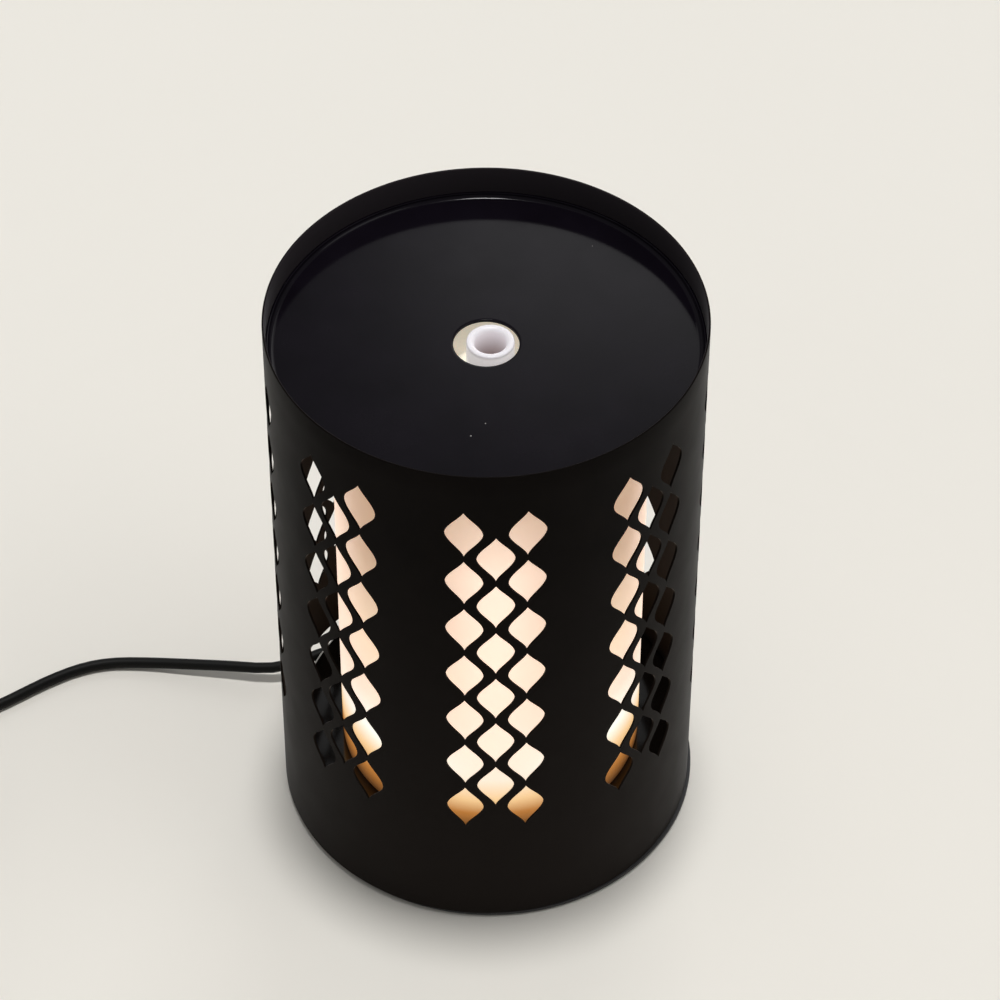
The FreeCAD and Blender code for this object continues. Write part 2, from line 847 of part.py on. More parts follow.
def make_cover():
    """The sheet tube, one panel to a window, with its notch, and the disc let into its top."""
    section = [
        ("cover_inner", "cover_base"),
        ("cover_radius", "cover_base"),
        ("cover_radius", "cover_height"),
        ("cover_inner", "cover_height"),
    ]
    blank = turned("panel_blank", section, sector="window_pitch")
    panel = cut("cover_panel", blank, make_drops())
    turns = [
        f"window_front + ({window} - windows_before_front) * window_pitch"
        for window in range(count("window_count"))
    ]
    panels = [swung(f"cover_panel_{place}", panel, turn) for place, turn in enumerate(turns)]
    strip = swung("cover_strip", turned("strip_blank", section, sector="strip_angle"), "strip_middle")
    shell = fuse("cover_shell", *panels, strip)
    shell.Refine = False
    depth = ("cover_radius / 2", "cover_radius + cut_margin")
    corner_x = "notch_half_width - notch_corner"
    corner_z = "notch_height - notch_corner"
    notch = fuse(
        "cover_notch",
        block("notch_middle", (f"0 - ({corner_x})", corner_x), depth, ("0", "notch_height")),
        block("notch_sides", ("0 - notch_half_width", "notch_half_width"), depth, ("0", corner_z)),
        rod("notch_left", "notch_corner", *depth, x=f"0 - ({corner_x})", z=corner_z),
        rod("notch_right", "notch_corner", *depth, x=corner_x, z=corner_z),
    )
    tube = shifted("cover_tube", cut("cover_notched", shell, notch), "cover_x", "cover_y")

    edge_inner = "disc_radius - disc_wall"
    disc = turned("cover_top_disc", [
        ("disc_hole", "disc_low"),
        ("disc_radius", "disc_low"),
        ("disc_radius", "disc_face + disc_edge"),
        (edge_inner, "disc_face + disc_edge"),
        (edge_inner, "disc_face"),
        ("disc_hole", "disc_face"),
    ], "cover_x", "cover_y")
    rounded(disc, "disc_inner_bend", "disc_bend", ring_at(edge_inner, "disc_face"))
    rounded(disc, "disc_outer_bend", "disc_bend + disc_wall", ring_at("disc_radius", "disc_low"))
    return [tube, disc]


# Dome and nozzle

def make_dome():
    """The translucent dome and the nozzle that carries the mist through its top."""
    shell = turned("dome_shell", [
        ("dome_inner", "dome_base"),
        ("dome_radius", "dome_base"),
        ("dome_radius", "dome_top"),
        ("0", "dome_top"),
        ("0", "dome_ceiling"),
        ("dome_inner", "dome_ceiling"),
    ])
    rounded(shell, "dome_inside", "dome_shoulder - dome_wall", ring_at("dome_inner", "dome_ceiling"))
    rounded(shell, "dome_outside", "dome_shoulder", ring_at("dome_radius", "dome_top"))
    seat = cylinder("nozzle_seat", "nozzle_radius + nozzle_fit", "dome_ceiling - cut_margin",
                    "dome_top + cut_margin")
    dome = cut("light_dome", shell, seat)

    nozzle = turned("mist_nozzle", [
        ("nozzle_bore", "nozzle_tip"),
        ("nozzle_radius", "nozzle_tip"),
        ("nozzle_radius", "collar_top"),
        ("nozzle_collar", "collar_top"),
        ("nozzle_collar", "collar_low"),
        ("nozzle_throat + nozzle_wall", "collar_low"),
        ("flare_radius", "flare_low"),
        ("flare_radius - nozzle_wall", "flare_low"),
        ("nozzle_throat", "collar_low"),
        ("nozzle_bore", "collar_top"),
    ])
    rounded(nozzle, "lip_outside", "lip_round_outer", ring_at("nozzle_radius", "nozzle_tip"))
    rounded(nozzle, "lip_inside", "lip_round_inner", ring_at("nozzle_bore", "nozzle_tip"))
    return [dome, nozzle]


# Bottom plate, feet and screws

def fan_corners(name, item):
    """Copies of an object at the four corners of the fan."""
    copies = [
        shifted(f"{name}_{place}", item, f"{x} * fan_screw_offset", f"fan_y + {y} * fan_screw_offset")
        for place, (x, y) in enumerate(FAN_SCREW_SIDES)
    ]
    return group(name, *copies)


def screw(name, shank, head, low, seat, tip, x="0", y="0"):
    """A screw driven upwards: its head from low to seat, then its shank up to its tip."""
    socket = cylinder(name + "_socket", f"({shank}) * {SOCKET_RADIUS_SHARE}", low,
                      f"({low}) + ({seat} - ({low})) * {SOCKET_DEPTH_SHARE}", x, y)
    item = fuse(
        name + "_blank",
        cylinder(name + "_head", head, low, seat, x, y),
        cylinder(name + "_shank", shank, seat, tip, x, y),
    )
    return cut(name, item, socket)


def make_bottom():
    """The plate that closes the base, with its grille, feet and screws."""
    blank = turned("plate_blank", [
        ("0", "plate_clearance"),
        ("flange_radius", "plate_clearance"),
        ("flange_radius", "flange_top"),
        ("plate_radius", "flange_top"),
        ("plate_radius", "plate_top"),
        ("0", "plate_top"),
    ])
    pads = fan_corners("fan_pads", cylinder("fan_pad", "pad_radius", "plate_top - join_depth", "fan_low"))
    recess = cylinder("foot_recess_cutter", "foot_radius + foot_fit", "0", "foot_top", "foot_circle")
    head_seat = "plate_clearance + screw_head_height + screw_fit"
    counterbore = fuse(
        "post_screw_cutter",
        cylinder("post_screw_counterbore", "screw_head + head_fit", "0", head_seat, "post_circle"),
        cylinder("post_screw_hole", "screw_shank + screw_fit", "0", "plate_top + cut_margin", "post_circle"),
    )
    fan_hole = cylinder("fan_screw_hole", "screw_shank + screw_fit", "plate_clearance + fan_hole_floor",
                        "fan_low + cut_margin")
    middle = "(grille_slots - 1) / 2"
    slots = []
    for slot in range(count("grille_slots")):
        y = across(f"fan_y + ({slot} - {middle}) * grille_pitch", "grille_slot")
        slots.append(block(f"grille_slot_{slot}", ("0 - grille_radius", "grille_radius"), y,
                           ("0", "plate_top + cut_margin")))
    disc = cylinder("grille_field", "grille_radius", "0", "plate_top + cut_margin", "0", "fan_y")
    grille = overlap("grille_cutter", group("grille_slots_all", *slots), disc)
    plate = cut(
        "bottom_plate",
        fuse("plate_with_pads", blank, pads),
        around("foot_recesses", recess, FOOT_ANGLES),
        around("post_screw_cutters", counterbore, POST_ANGLES),
        fan_corners("fan_screw_holes", fan_hole),
        grille,
    )
    foot = cylinder("foot", "foot_radius", "0", "foot_top", "foot_circle")
    post_screw = screw("post_screw", "screw_shank", "screw_head", "plate_clearance + screw_fit",
                       head_seat, f"{head_seat} + screw_length", "post_circle")
    return [plate, around("rubber_feet", foot, FOOT_ANGLES),
            around("bottom_screws", post_screw, POST_ANGLES)]


# Base housing

def board_boss_angles():
    """Where the circuit board is screwed to the housing, the same on both sides."""
    outer = number("board_boss_outer_angle")
    inner = number("board_boss_inner_angle")
    return (outer, 180 - outer, inner, 180 - inner)


def make_housing():
    """The glossy housing: side wall, ledge, neck round the tank, posts and the plug's tunnel."""
    shell = turned("housing_shell", [
        ("housing_inner", "flange_top"),
        ("housing_radius", "flange_top"),
        ("housing_radius", "ledge_top"),
        ("neck_radius", "ledge_top"),
        ("neck_radius", "neck_top"),
        ("neck_inner", "neck_top"),
        ("neck_inner", "tank_base"),
        ("lip_inner", "tank_base"),
        ("lip_inner", "lip_low"),
        ("neck_inner", "lip_low"),
        ("neck_inner", "ledge_low"),
        ("housing_inner", "ledge_low"),
    ])
    rounded(shell, "ledge_rounding", "ledge_round", ring_at("housing_radius", "ledge_top"))
    post = cylinder("post", "post_radius", "plate_top", "ledge_low + join_depth", "post_circle")
    boss = cylinder("board_boss", "board_boss", "board_top", "ledge_low + join_depth", "board_boss_circle")
    sleeve_half = "tunnel_half_width + tunnel_wall"
    sleeve = block("tunnel_sleeve", (f"0 - ({sleeve_half})", sleeve_half),
                   ("tunnel_start", "housing_radius - sleeve_inset"), ("tunnel_low", "tunnel_top"))
    solid = fuse("housing_solid", shell, around("posts", post, POST_ANGLES),
                 around("board_bosses", boss, board_boss_angles()), sleeve)
    tunnel = block("tunnel_space", ("0 - tunnel_half_width", "tunnel_half_width"),
                   ("tunnel_mouth", "housing_radius + cut_margin"), ("tunnel_floor", "tunnel_ceiling"))
    barrel_way = rod("barrel_way", "barrel_hole", "tunnel_start - cut_margin", "tunnel_mouth + cut_margin",
                     z="jack_level")
    post_hole = cylinder("post_hole", "screw_shank + screw_fit", "0",
                         "plate_clearance + screw_head_height + screw_length + hole_end_gap",
                         "post_circle")
    boss_hole = cylinder("boss_hole", "small_shank + screw_fit", "board_low",
                         "board_screw_tip + screw_end_gap", "board_boss_circle")
    lip_hole = cylinder("lip_hole", "screw_shank + screw_fit", "lip_low - cut_margin",
                        "tank_base + cut_margin", "tank_screw_circle")
    button_way = rod("button_way", "button_radius + button_fit", "housing_inner - cut_margin",
                     "housing_radius + cut_margin", z="button_level")
    housing = cut(
        "base_housing", solid, tunnel, barrel_way,
        around("post_holes", post_hole, POST_ANGLES),
        around("boss_holes", boss_hole, board_boss_angles()),
        around("lip_holes", lip_hole, TANK_SCREW_ANGLES),
        around("button_ways", button_way, ("0 - button_angle", "button_angle")),
    )
    return [housing]


# Water tank and transducer

def make_tank():
    """The tank with its skirt, the well over the transducer, its bosses and the air duct."""
    shell = turned("tank_shell", [
        ("tank_radius", "tank_base"),
        ("tank_radius", "tank_top"),
        ("tank_inner", "tank_top"),
        ("tank_inner", "tank_floor_top"),
        ("well_mouth", "tank_floor_top"),
        ("well_radius", "recess_top + well_land"),
        ("well_radius", "recess_top"),
        ("recess_radius", "recess_top"),
        ("recess_radius", "hub_low"),
        ("hub_radius", "hub_low"),
        ("hub_radius", "tank_floor_low"),
        ("tank_inner", "tank_floor_low"),
        ("tank_inner", "tank_base"),
    ])
    duct = cylinder("duct_outside", "duct_radius", "duct_low", "duct_top", "0", "fan_y")
    boss = cylinder("tank_boss", "tank_boss", "tank_base", "tank_base + tank_boss_height",
                    "tank_screw_circle")
    ear_boss = cylinder("ear_boss", "ear_boss", "hub_low", "tank_floor_low + join_depth", "ear_circle")
    led_post = cylinder("led_post", "led_post_radius", "led_board_top", "tank_floor_low + join_depth",
                        "led_post_circle")
    solid = fuse("tank_solid", shell, duct, around("tank_bosses", boss, TANK_SCREW_ANGLES),
                 around("ear_bosses", ear_boss, TANK_SCREW_ANGLES),
                 around("led_posts", led_post, LED_POST_ANGLES))
    duct_bore = cylinder("duct_inside", "duct_bore", "duct_low - cut_margin", "duct_top + cut_margin",
                         "0", "fan_y")
    boss_hole = cylinder("tank_boss_hole", "screw_shank + screw_fit", "tank_base - cut_margin",
                         "tank_screw_tip + hole_end_gap", "tank_screw_circle")
    ear_hole = cylinder("ear_hole", "small_shank + screw_fit", "hub_low - cut_margin",
                        "retainer_low + small_screw_length + hole_end_gap", "ear_circle")
    led_hole = cylinder("led_post_hole", "small_shank + screw_fit", "led_board_top - cut_margin",
                        "led_board_low + small_screw_length + hole_end_gap", "led_post_circle")
    tank = cut("water_tank", solid, duct_bore,
               around("tank_boss_holes", boss_hole, TANK_SCREW_ANGLES),
               around("ear_holes", ear_hole, TANK_SCREW_ANGLES),
               around("led_post_holes", led_hole, LED_POST_ANGLES))
    tank_screw = screw("tank_screw", "screw_shank", "screw_head", "lip_low - screw_head_height",
                       "lip_low", "tank_screw_tip", "tank_screw_circle")
    return [tank, around("tank_screws", tank_screw, TANK_SCREW_ANGLES)]


def make_transducer():
    """The ultrasonic disc in its rubber seal, and the ring that holds it under the well."""
    groove = "piezo_radius + groove_fit"
    seal = turned("transducer_seal", [
        ("seal_bore", "hub_low + seal_gap"),
        ("seal_radius", "hub_low + seal_gap"),
        ("seal_radius", "seal_top"),
        ("seal_bore", "seal_top"),
        ("seal_bore", "piezo_top + groove_fit"),
        (groove, "piezo_top + groove_fit"),
        (groove, "piezo_low - groove_fit"),
        ("seal_bore", "piezo_low - groove_fit"),
    ])
    disc = cylinder("transducer_disc", "piezo_radius", "piezo_low", "piezo_top")
    ear = cylinder("retainer_ear", "ear_radius", "retainer_low", "hub_low", "ear_circle")
    plate = fuse("retainer_blank", cylinder("retainer_plate", "hub_radius", "retainer_low", "hub_low"),
                 around("retainer_ears", ear, TANK_SCREW_ANGLES))
    ends = ("retainer_low - cut_margin", "hub_low + cut_margin")
    hole = cylinder("retainer_screw_hole", "small_shank + screw_fit", *ends, "ear_circle")
    opening = cylinder("retainer_opening", "retainer_bore", *ends)
    retainer = cut("transducer_retainer", plate, opening,
                   around("retainer_screw_holes", hole, TANK_SCREW_ANGLES))
    fixing = screw("retainer_screw", "small_shank", "small_head", "retainer_low - small_head_height",
                   "retainer_low", "retainer_low + small_screw_length", "ear_circle")
    return [seal, disc, retainer, around("retainer_screws", fixing, TANK_SCREW_ANGLES)]


def make_leds():
    """The ring of lamps under the tank, open where the air duct passes."""
    ring = cylinder("led_board_disc", "led_board_radius", "led_board_low", "led_board_top")
    ends = ("led_board_low - cut_margin", "led_board_top + cut_margin")
    opening = cylinder("led_board_opening", "led_board_inner", *ends)
    gap = cylinder("duct_gap", "sleeve_radius + led_board_gap", *ends, "0", "fan_y")
    hole = cylinder("led_screw_hole", "small_shank + screw_fit", *ends, "led_post_circle")
    board = cut("led_board", ring, opening, gap, around("led_screw_holes", hole, LED_POST_ANGLES))
    lamp = block("led", across("led_circle", "led_depth"), across("0", "led_width"),
                 ("led_board_top", "led_board_top + led_height"))
    angles = [f"led_angle_first + {place} * led_angle_step" for place in range(count("led_count"))]
    fixing = screw("led_board_screw", "small_shank", "small_head", "led_board_low - small_head_height",
                   "led_board_low", "led_board_low + small_screw_length", "led_post_circle")
    return [board, around("leds", lamp, angles), around("led_board_screws", fixing, LED_POST_ANGLES)]


# Fan and air guide

def make_fan():
    """The fan: frame with struts, plain bearing, stator, and the rotor on its shaft."""
    side = across("0", "fan_side")
    frame_block = block("fan_block", side, across("fan_y", "fan_side"), ("fan_low", "fan_top"))
    ends = ("fan_low - cut_margin", "fan_top + cut_margin")
    tunnel = cylinder("fan_tunnel", "fan_bore", *ends, "0", "fan_y")
    screw_hole = cylinder("frame_screw_hole", "screw_shank + screw_fit", *ends)
    rim = cut("fan_rim", frame_block, tunnel, fan_corners("frame_screw_holes", screw_hole))
    strut = block("fan_strut", ("fan_disc_radius - join_depth", "fan_bore + join_depth"),
                  across("0", "strut_width"), ("fan_low", "fan_disc_top"))
    struts = shifted("fan_struts_in_place", around("fan_struts", strut, TANK_SCREW_ANGLES), "0", "fan_y")
    disc = cylinder("fan_disc", "fan_disc_radius", "fan_low", "fan_disc_top", "0", "fan_y")
    holder = cylinder("bearing_holder", "bearing_shell", "fan_low", "bearing_top", "0", "fan_y")
    bore = cylinder("bearing_bore", "bearing_radius + bearing_fit", "fan_disc_top",
                    "bearing_top + cut_margin", "0", "fan_y")
    frame = cut("fan_frame", fuse("fan_frame_blank", rim, struts, disc, holder), bore)

    sleeve = cylinder("bearing_outside", "bearing_radius", "fan_disc_top", "bearing_top", "0", "fan_y")
    way = cylinder("bearing_way", "shaft_radius + shaft_running_gap", "fan_disc_top - cut_margin",
                   "bearing_top + cut_margin", "0", "fan_y")
    bearing = cut("fan_bearing", sleeve, way)
    stator = cut(
        "fan_stator",
        cylinder("stator_outside", "stator_radius", "stator_low", "stator_low + stator_height",
                 "0", "fan_y"),
        cylinder("stator_inside", "bearing_shell + bearing_fit", "fan_disc_top", "bearing_top",
                 "0", "fan_y"),
    )

    cup = turned("rotor_cup", [
        ("0", "rotor_floor"),
        ("rotor_boss", "rotor_floor"),
        ("rotor_boss", "rotor_ceiling"),
        ("rotor_radius - rotor_wall", "rotor_ceiling"),
        ("rotor_radius - rotor_wall", "rotor_low"),
        ("rotor_radius", "rotor_low"),
        ("rotor_radius", "rotor_top"),
        ("0", "rotor_top"),
    ])
    blade = doc.addObject("Part::Box", "blade_blank")
    blade.setExpression("Length", bound("blade_radius - rotor_radius + rotor_wall + join_depth"))
    blade.setExpression("Width", bound("blade_chord"))
    blade.setExpression("Height", bound("blade_wall"))
    centred = shifted("blade_centred", blade, "0", "0 - blade_chord / 2", "0 - blade_wall / 2")
    pitched = group("blade_pitched", centred)
    pitched.Placement = Placement(Vector(), Rotation(Vector(1, 0, 0), 1))
    pitched.setExpression("Placement.Rotation.Angle", bound("blade_pitch"))
    raised = shifted("blade_raised", pitched, "rotor_radius - rotor_wall + blade_root_gap", "0",
                     "(rotor_low + rotor_top) / 2")
    step = 360 / count("blade_count")
    blades = around("blades", raised, [step * place for place in range(count("blade_count"))])
    sweep = cylinder("blade_sweep", "blade_radius", "rotor_low", "rotor_top")
    solid = fuse("rotor_solid", cup, overlap("blades_trimmed", blades, sweep))
    shaft_hole = cylinder("rotor_shaft_hole", "shaft_radius", "bearing_top", "shaft_top")
    rotor = shifted("fan_rotor", cut("rotor_bored", solid, shaft_hole), "0", "fan_y")
    magnet = cut(
        "fan_magnet",
        cylinder("magnet_outside", "magnet_radius", "rotor_low + magnet_inset", "rotor_ceiling",
                 "0", "fan_y"),
        cylinder("magnet_inside", "magnet_radius - magnet_wall", "fan_low", "fan_top", "0", "fan_y"),
    )
    shaft = cylinder("fan_shaft", "shaft_radius", "fan_disc_top + shaft_end_gap", "shaft_top", "0", "fan_y")
    blank = screw("fan_screw_up", "screw_shank", "screw_head", "0", "screw_head_height",
                  "screw_head_height + guide_top - plate_clearance - fan_hole_floor - screw_end_gap")
    inverted = group("fan_screw", blank)
    inverted.Placement = Placement(Vector(), Rotation(Vector(1, 0, 0), 180))
    move(inverted, "0", "0", "guide_top + screw_head_height")
    return [frame, bearing, stator, rotor, magnet, shaft, fan_corners("fan_screws", inverted)]


def make_air_guide():
    """The funnel on the fan that leads its air up into the duct of the tank."""
    funnel = turned("guide_funnel", [
        ("fan_bore", "fan_top"),
        ("fan_bore + guide_wall", "fan_top"),
        ("fan_bore + guide_wall", "guide_top"),
        ("sleeve_radius", "funnel_top"),
        ("sleeve_radius", "sleeve_top"),
        ("sleeve_bore", "sleeve_top"),
        ("sleeve_bore", "funnel_top - funnel_step"),
        ("fan_bore", "guide_top - funnel_step"),
    ], "0", "fan_y")
    side = across("0", "fan_side")
    plate = block("guide_plate", side, across("fan_y", "fan_side"), ("fan_top", "guide_top"))
    ends = ("fan_top - cut_margin", "guide_top + cut_margin")
    opening = cylinder("guide_opening", "fan_bore + join_depth", *ends, "0", "fan_y")
    hole = cylinder("guide_screw_hole", "screw_shank + screw_fit", *ends)
    flange = cut("guide_flange", plate, opening, fan_corners("guide_screw_holes", hole))
    return [fuse("air_guide", flange, funnel)]


# Circuit board and what it carries

def make_board():
    """The main circuit board behind the fan, hung from the housing by its bosses."""
    disc = cylinder("board_disc", "board_radius", "board_low", "board_top")
    half = block("board_half", ("0 - board_radius", "board_radius"), ("board_edge", "board_radius"),
                 ("board_low", "board_top"))
    ends = ("board_low - cut_margin", "board_top + cut_margin")
    notch = cylinder("board_notch_cutter", "board_notch", *ends, "post_circle")
    hole = cylinder("board_screw_hole", "small_shank + screw_fit", *ends, "board_boss_circle")
    board = cut("main_board", overlap("board_blank", disc, half),
                around("board_notches", notch, POST_ANGLES[:2]),
                around("board_screw_holes", hole, board_boss_angles()))
    fixing = screw("board_screw", "small_shank", "small_head", "board_low - small_head_height",
                   "board_low", "board_screw_tip", "board_boss_circle")
    return [board, around("board_screws", fixing, board_boss_angles())]


def on_board(name, x, y, width, depth, height):
    """A part with a rectangular body on top of the board."""
    return block(name, across(x, width), across(y, depth), ("board_top", f"board_top + {height}"))


def make_components():
    """Chips, capacitors, the driver coil and the lead connectors on the board."""
    chips = group("board_chips", *[on_board(name, *sizes) for name, sizes in CHIPS.items()])
    cans = [
        cylinder(name, radius, "board_top", f"board_top + {height}", x, y)
        for name, (x, y, radius, height) in CAPACITORS.items()
    ]
    coil_top = "board_top + driver_coil_height"
    coil = turned("driver_coil", [
        ("0", "board_top"),
        ("driver_coil_radius", "board_top"),
        ("driver_coil_radius", "board_top + driver_coil_flange"),
        ("driver_coil_core", "board_top + driver_coil_flange + driver_coil_slope"),
        ("driver_coil_core", f"{coil_top} - driver_coil_flange - driver_coil_slope"),
        ("driver_coil_radius", f"{coil_top} - driver_coil_flange"),
        ("driver_coil_radius", coil_top),
        ("0", coil_top),
    ], *COIL_PLACE)
    connectors = group("board_connectors", *[
        on_board(name, x, CONNECTOR_ROW, *CONNECTOR_SIZE) for name, x in CONNECTORS.items()
    ])
    return [chips, group("board_capacitors", *cans), coil, connectors]


def make_jack():
    """The power inlet under the board, with its centre pin."""
    case = block("jack_case", across("0", "jack_width"), ("jack_back", "jack_face"),
                 ("tunnel_floor", "board_low"))
    bore = rod("jack_bore_cutter", "jack_bore", "jack_face - jack_depth", "jack_face + cut_margin",
               z="jack_level")
    pin = rod("jack_pin", "pin_radius", "jack_face - jack_depth - join_depth", "jack_face - pin_recess",
              z="jack_level")
    return [fuse("dc_jack", cut("jack_body", case, bore), pin)]


# Buttons and switches

def make_buttons():
    """Two push buttons in the back wall and the switches under the board behind them."""
    case = block("switch_case", across("0", "switch_side"), ("switch_back", "switch_face"),
                 ("button_level - switch_side / 2", "board_low"))
    well = rod("plunger_well", "plunger_radius + plunger_fit", "switch_face - plunger_tail - plunger_room",
               "switch_face + cut_margin", z="button_level")
    switch = cut("switch_body", case, well)
    plunger = rod("plunger", "plunger_radius", "switch_face - plunger_tail", "plunger_end",
                  z="button_level")
    cap = fuse(
        "button",
        rod("button_cap", "button_radius", "button_flange_front", "button_end", z="button_level"),
        rod("button_rim", "button_flange", "button_flange_back", "button_flange_front",
            z="button_level"),
        rod("button_stem", "stem_radius", "stem_end", "button_flange_back", z="button_level"),
    )
    sides = {"mist": "0 - button_angle", "light": "button_angle"}
    pieces = [around("switch_bodies", switch, list(sides.values()))]
    for name, angle in sides.items():
        pieces.append(swung(name + "_switch_plunger", plunger, angle))
        pieces.append(swung(name + "_button", cap, angle))
    return pieces


# Cord, coil and adapter

def tangent_path(points):
    """Straight runs joined by tangent arcs, each as large as its two runs allow."""
    points = [Vector(*point) for point in points]
    edges = []
    start = points[0]
    radii = []
    for before, corner, after in zip(points, points[1:], points[2:]):
        incoming = (corner - before).normalize()
        outgoing = (after - corner).normalize()
        turn = incoming.getAngle(outgoing)
        setback = RUN_SHARE * min((corner - before).Length, (after - corner).Length)
        radius = setback / math.tan(turn / 2)
        enter = corner - incoming * setback
        leave = corner + outgoing * setback
        inward = (outgoing - incoming).normalize()
        middle = corner + inward * (radius / math.cos(turn / 2) - radius)
        edges.append(Part.LineSegment(start, enter).toShape())
        edges.append(Part.Arc(enter, middle, leave).toShape())
        start = leave
        radii.append(radius)
    edges.append(Part.LineSegment(start, points[-1]).toShape())
    return Part.Wire(edges), radii


def tube(path, radius):
    """A round bar swept along a path of lines and arcs."""
    first = path.Edges[0]
    start = first.valueAt(first.FirstParameter)
    heading = first.tangentAt(first.FirstParameter)
    section = Part.Wire([Part.makeCircle(radius, start, heading)])
    sweep = Part.BRepOffsetAPI.MakePipeShell(path)
    sweep.add(section)
    sweep.build()
    sweep.makeSolid()
    return sweep.shape()


def report_tube(name, shape, path, radius, radii):
    """Print what shows that a swept cord is sound."""
    expected = math.pi * radius ** 2 * path.Length
    print(f"{name}: length {path.Length:.1f}, volume {shape.Volume:.1f} of {expected:.1f}, "
          f"radii {', '.join(f'{value:.1f}' for value in radii)}")


def coil_point(turns):
    """The centreline of the coil after a number of turns, winding in and out in layers."""
    per_layer = number("coil_turns_per_layer")
    layers = count("coil_layers")
    pitch = number("coil_pitch")
    layer = min(int(turns / per_layer), layers - 1)
    inward = turns - layer * per_layer
    if layer % 2:
        inward = per_layer - inward
    radius = number("coil_radius") - pitch * inward
    climb = 0.0
    for reversal in range(1, layers):
        share = min(max((turns - reversal * per_layer) / CLIMB_TURNS + 0.5, 0.0), 1.0)
        climb += share * share * (3 - 2 * share)
    angle = math.radians(number("coil_entry_angle") + 360 * turns)
    return Vector(
        number("coil_x") + radius * math.cos(angle),
        number("coil_y") + radius * math.sin(angle),
        number("coil_rise") + pitch * climb,
    )


def heading_at(point_at, place, last):
    """The direction of a line at one place, from the points just beside it."""
    before = point_at(max(place - HEADING_STEP, 0))
    after = point_at(min(place + HEADING_STEP, last))
    return (after - before).normalize()


def arc_from(start, heading, end):
    """The arc that leaves a point in a given direction and ends at another."""
    chord = end - start
    along = heading.dot(chord) / chord.Length
    bend = math.acos(min(max(along, -1.0), 1.0))
    side = heading - chord * (along / chord.Length)
    middle = start + chord * 0.5
    if side.Length > 1e-9:
        middle = middle + side.normalize() * (chord.Length / 2 * math.tan(bend / 2))
    return Part.Arc(start, middle, end).toShape()


def biarc(start, start_heading, end, end_heading):
    """Two arcs that join two points, each in its given direction."""
    chord = end - start
    total = start_heading + end_heading
    along = chord.dot(total)
    spread = 2 * (1 - start_heading.dot(end_heading))
    reach = (math.sqrt(along ** 2 + spread * chord.dot(chord)) - along) / spread
    joint = (start + end + (start_heading - end_heading) * reach) * 0.5
    first = arc_from(start, start_heading, joint)
    second = arc_from(end, end_heading * -1, joint)
    return [first, second]


def coil_path():
    """The coil's line: quarter turns as pairs of arcs, with a short straight at either end."""
    turns = count("coil_layers") * number("coil_turns_per_layer")
    nodes = int(round(turns * 4))
    points = [coil_point(place / 4) for place in range(nodes + 1)]
    headings = [heading_at(coil_point, place / 4, turns) for place in range(nodes + 1)]
    straight = 2 * number("cord_radius")
    first = points[0] - headings[0] * straight
    last = points[-1] + headings[-1] * straight
    edges = [Part.LineSegment(first, points[0]).toShape()]
    for place in range(nodes):
        edges += biarc(points[place], headings[place], points[place + 1], headings[place + 1])
    edges.append(Part.LineSegment(points[-1], last).toShape())
    return Part.Wire(Part.__sortEdges__(edges)), (first, headings[0]), (last, headings[-1])


def least_gap(turns, diameter):
    """The least distance between the coil's turns, less the cord's own thickness."""
    steps = int(turns * GAP_STEPS)
    points = [coil_point(turns * place / steps) for place in range(steps + 1)]
    apart = GAP_STEPS // 2
    gaps = [
        (points[low] - points[high]).Length
        for low in range(len(points))
        for high in range(low + apart, len(points))
    ]
    return min(gaps) - diameter


def make_cord():
    """The free stretch, the coil, its tie and the tail, with their lengths printed."""
    radius = number("cord_radius")
    coil_line, entry, leave = coil_path()
    coil = tube(coil_line, radius)
    turns = count("coil_layers") * number("coil_turns_per_layer")
    print(f"cord_coil: length {coil_line.Length:.1f}, volume {coil.Volume:.1f} of "
          f"{math.pi * radius ** 2 * coil_line.Length:.1f}, least gap {least_gap(turns, 2 * radius):.2f}")

    exit_point = (0.0, number("cord_exit"), number("jack_level"))
    lead_in = entry[0] - entry[1] * CORD_LEAD_IN
    free_line, free_radii = tangent_path([exit_point] + CORD_ROUTE + [tuple(lead_in), tuple(entry[0])])
    free = tube(free_line, radius)
    report_tube("power_cord", free, free_line, radius, free_radii)

    lead_out = leave[0] + leave[1] * TAIL_LEAD_OUT
    plug_end = (number("adapter_x"), number("adapter_relief_end"), number("adapter_cord_level"))
    tail_line, tail_radii = tangent_path([tuple(leave[0]), tuple(lead_out)] + TAIL_ROUTE + [plug_end])
    tail = tube(tail_line, radius)
    report_tube("cord_tail", tail, tail_line, radius, tail_radii)
    print(f"cord in all: {free_line.Length + coil_line.Length + tail_line.Length:.0f}")
    return [feature("power_cord", free), feature("cord_coil", coil), feature("cord_tail", tail)]


def make_leads():
    """The leads of the fan, the transducer and the lamps, inside the base."""
    leads = []
    radius = number("lead_radius")
    for name, route in LEAD_ROUTES.items():
        points = [tuple(number(words) for words in point) for point in route]
        line, radii = tangent_path(points)
        shape = tube(line, radius)
        report_tube(name, shape, line, radius, radii)
        leads.append(feature(name, shape))
    return leads


def make_tie():
    """The band that holds the turns of the coil together."""
    inner_radius = "coil_radius - coil_pitch * coil_turns_per_layer - cord_radius - tie_inner_gap"
    outer_radius = "coil_radius + cord_radius + tie_gap"
    low = "coil_rise - cord_radius - tie_gap"
    high = "coil_rise + coil_pitch * (coil_layers - 1) + cord_radius + tie_gap"
    width = across("0", "tie_width")
    outside = block("tie_outside", (f"{inner_radius} - tie_wall", f"{outer_radius} + tie_wall"), width,
                    (f"{low} - tie_wall", f"{high} + tie_wall"))
    inside = block("tie_inside", (inner_radius, outer_radius), across("0", "tie_width + 2 * cut_margin"),
                   (low, high))
    band = swung("tie_band", cut("tie_loop", outside, inside), "tie_angle")
    return [shifted("cord_tie", band, "coil_x", "coil_y")]


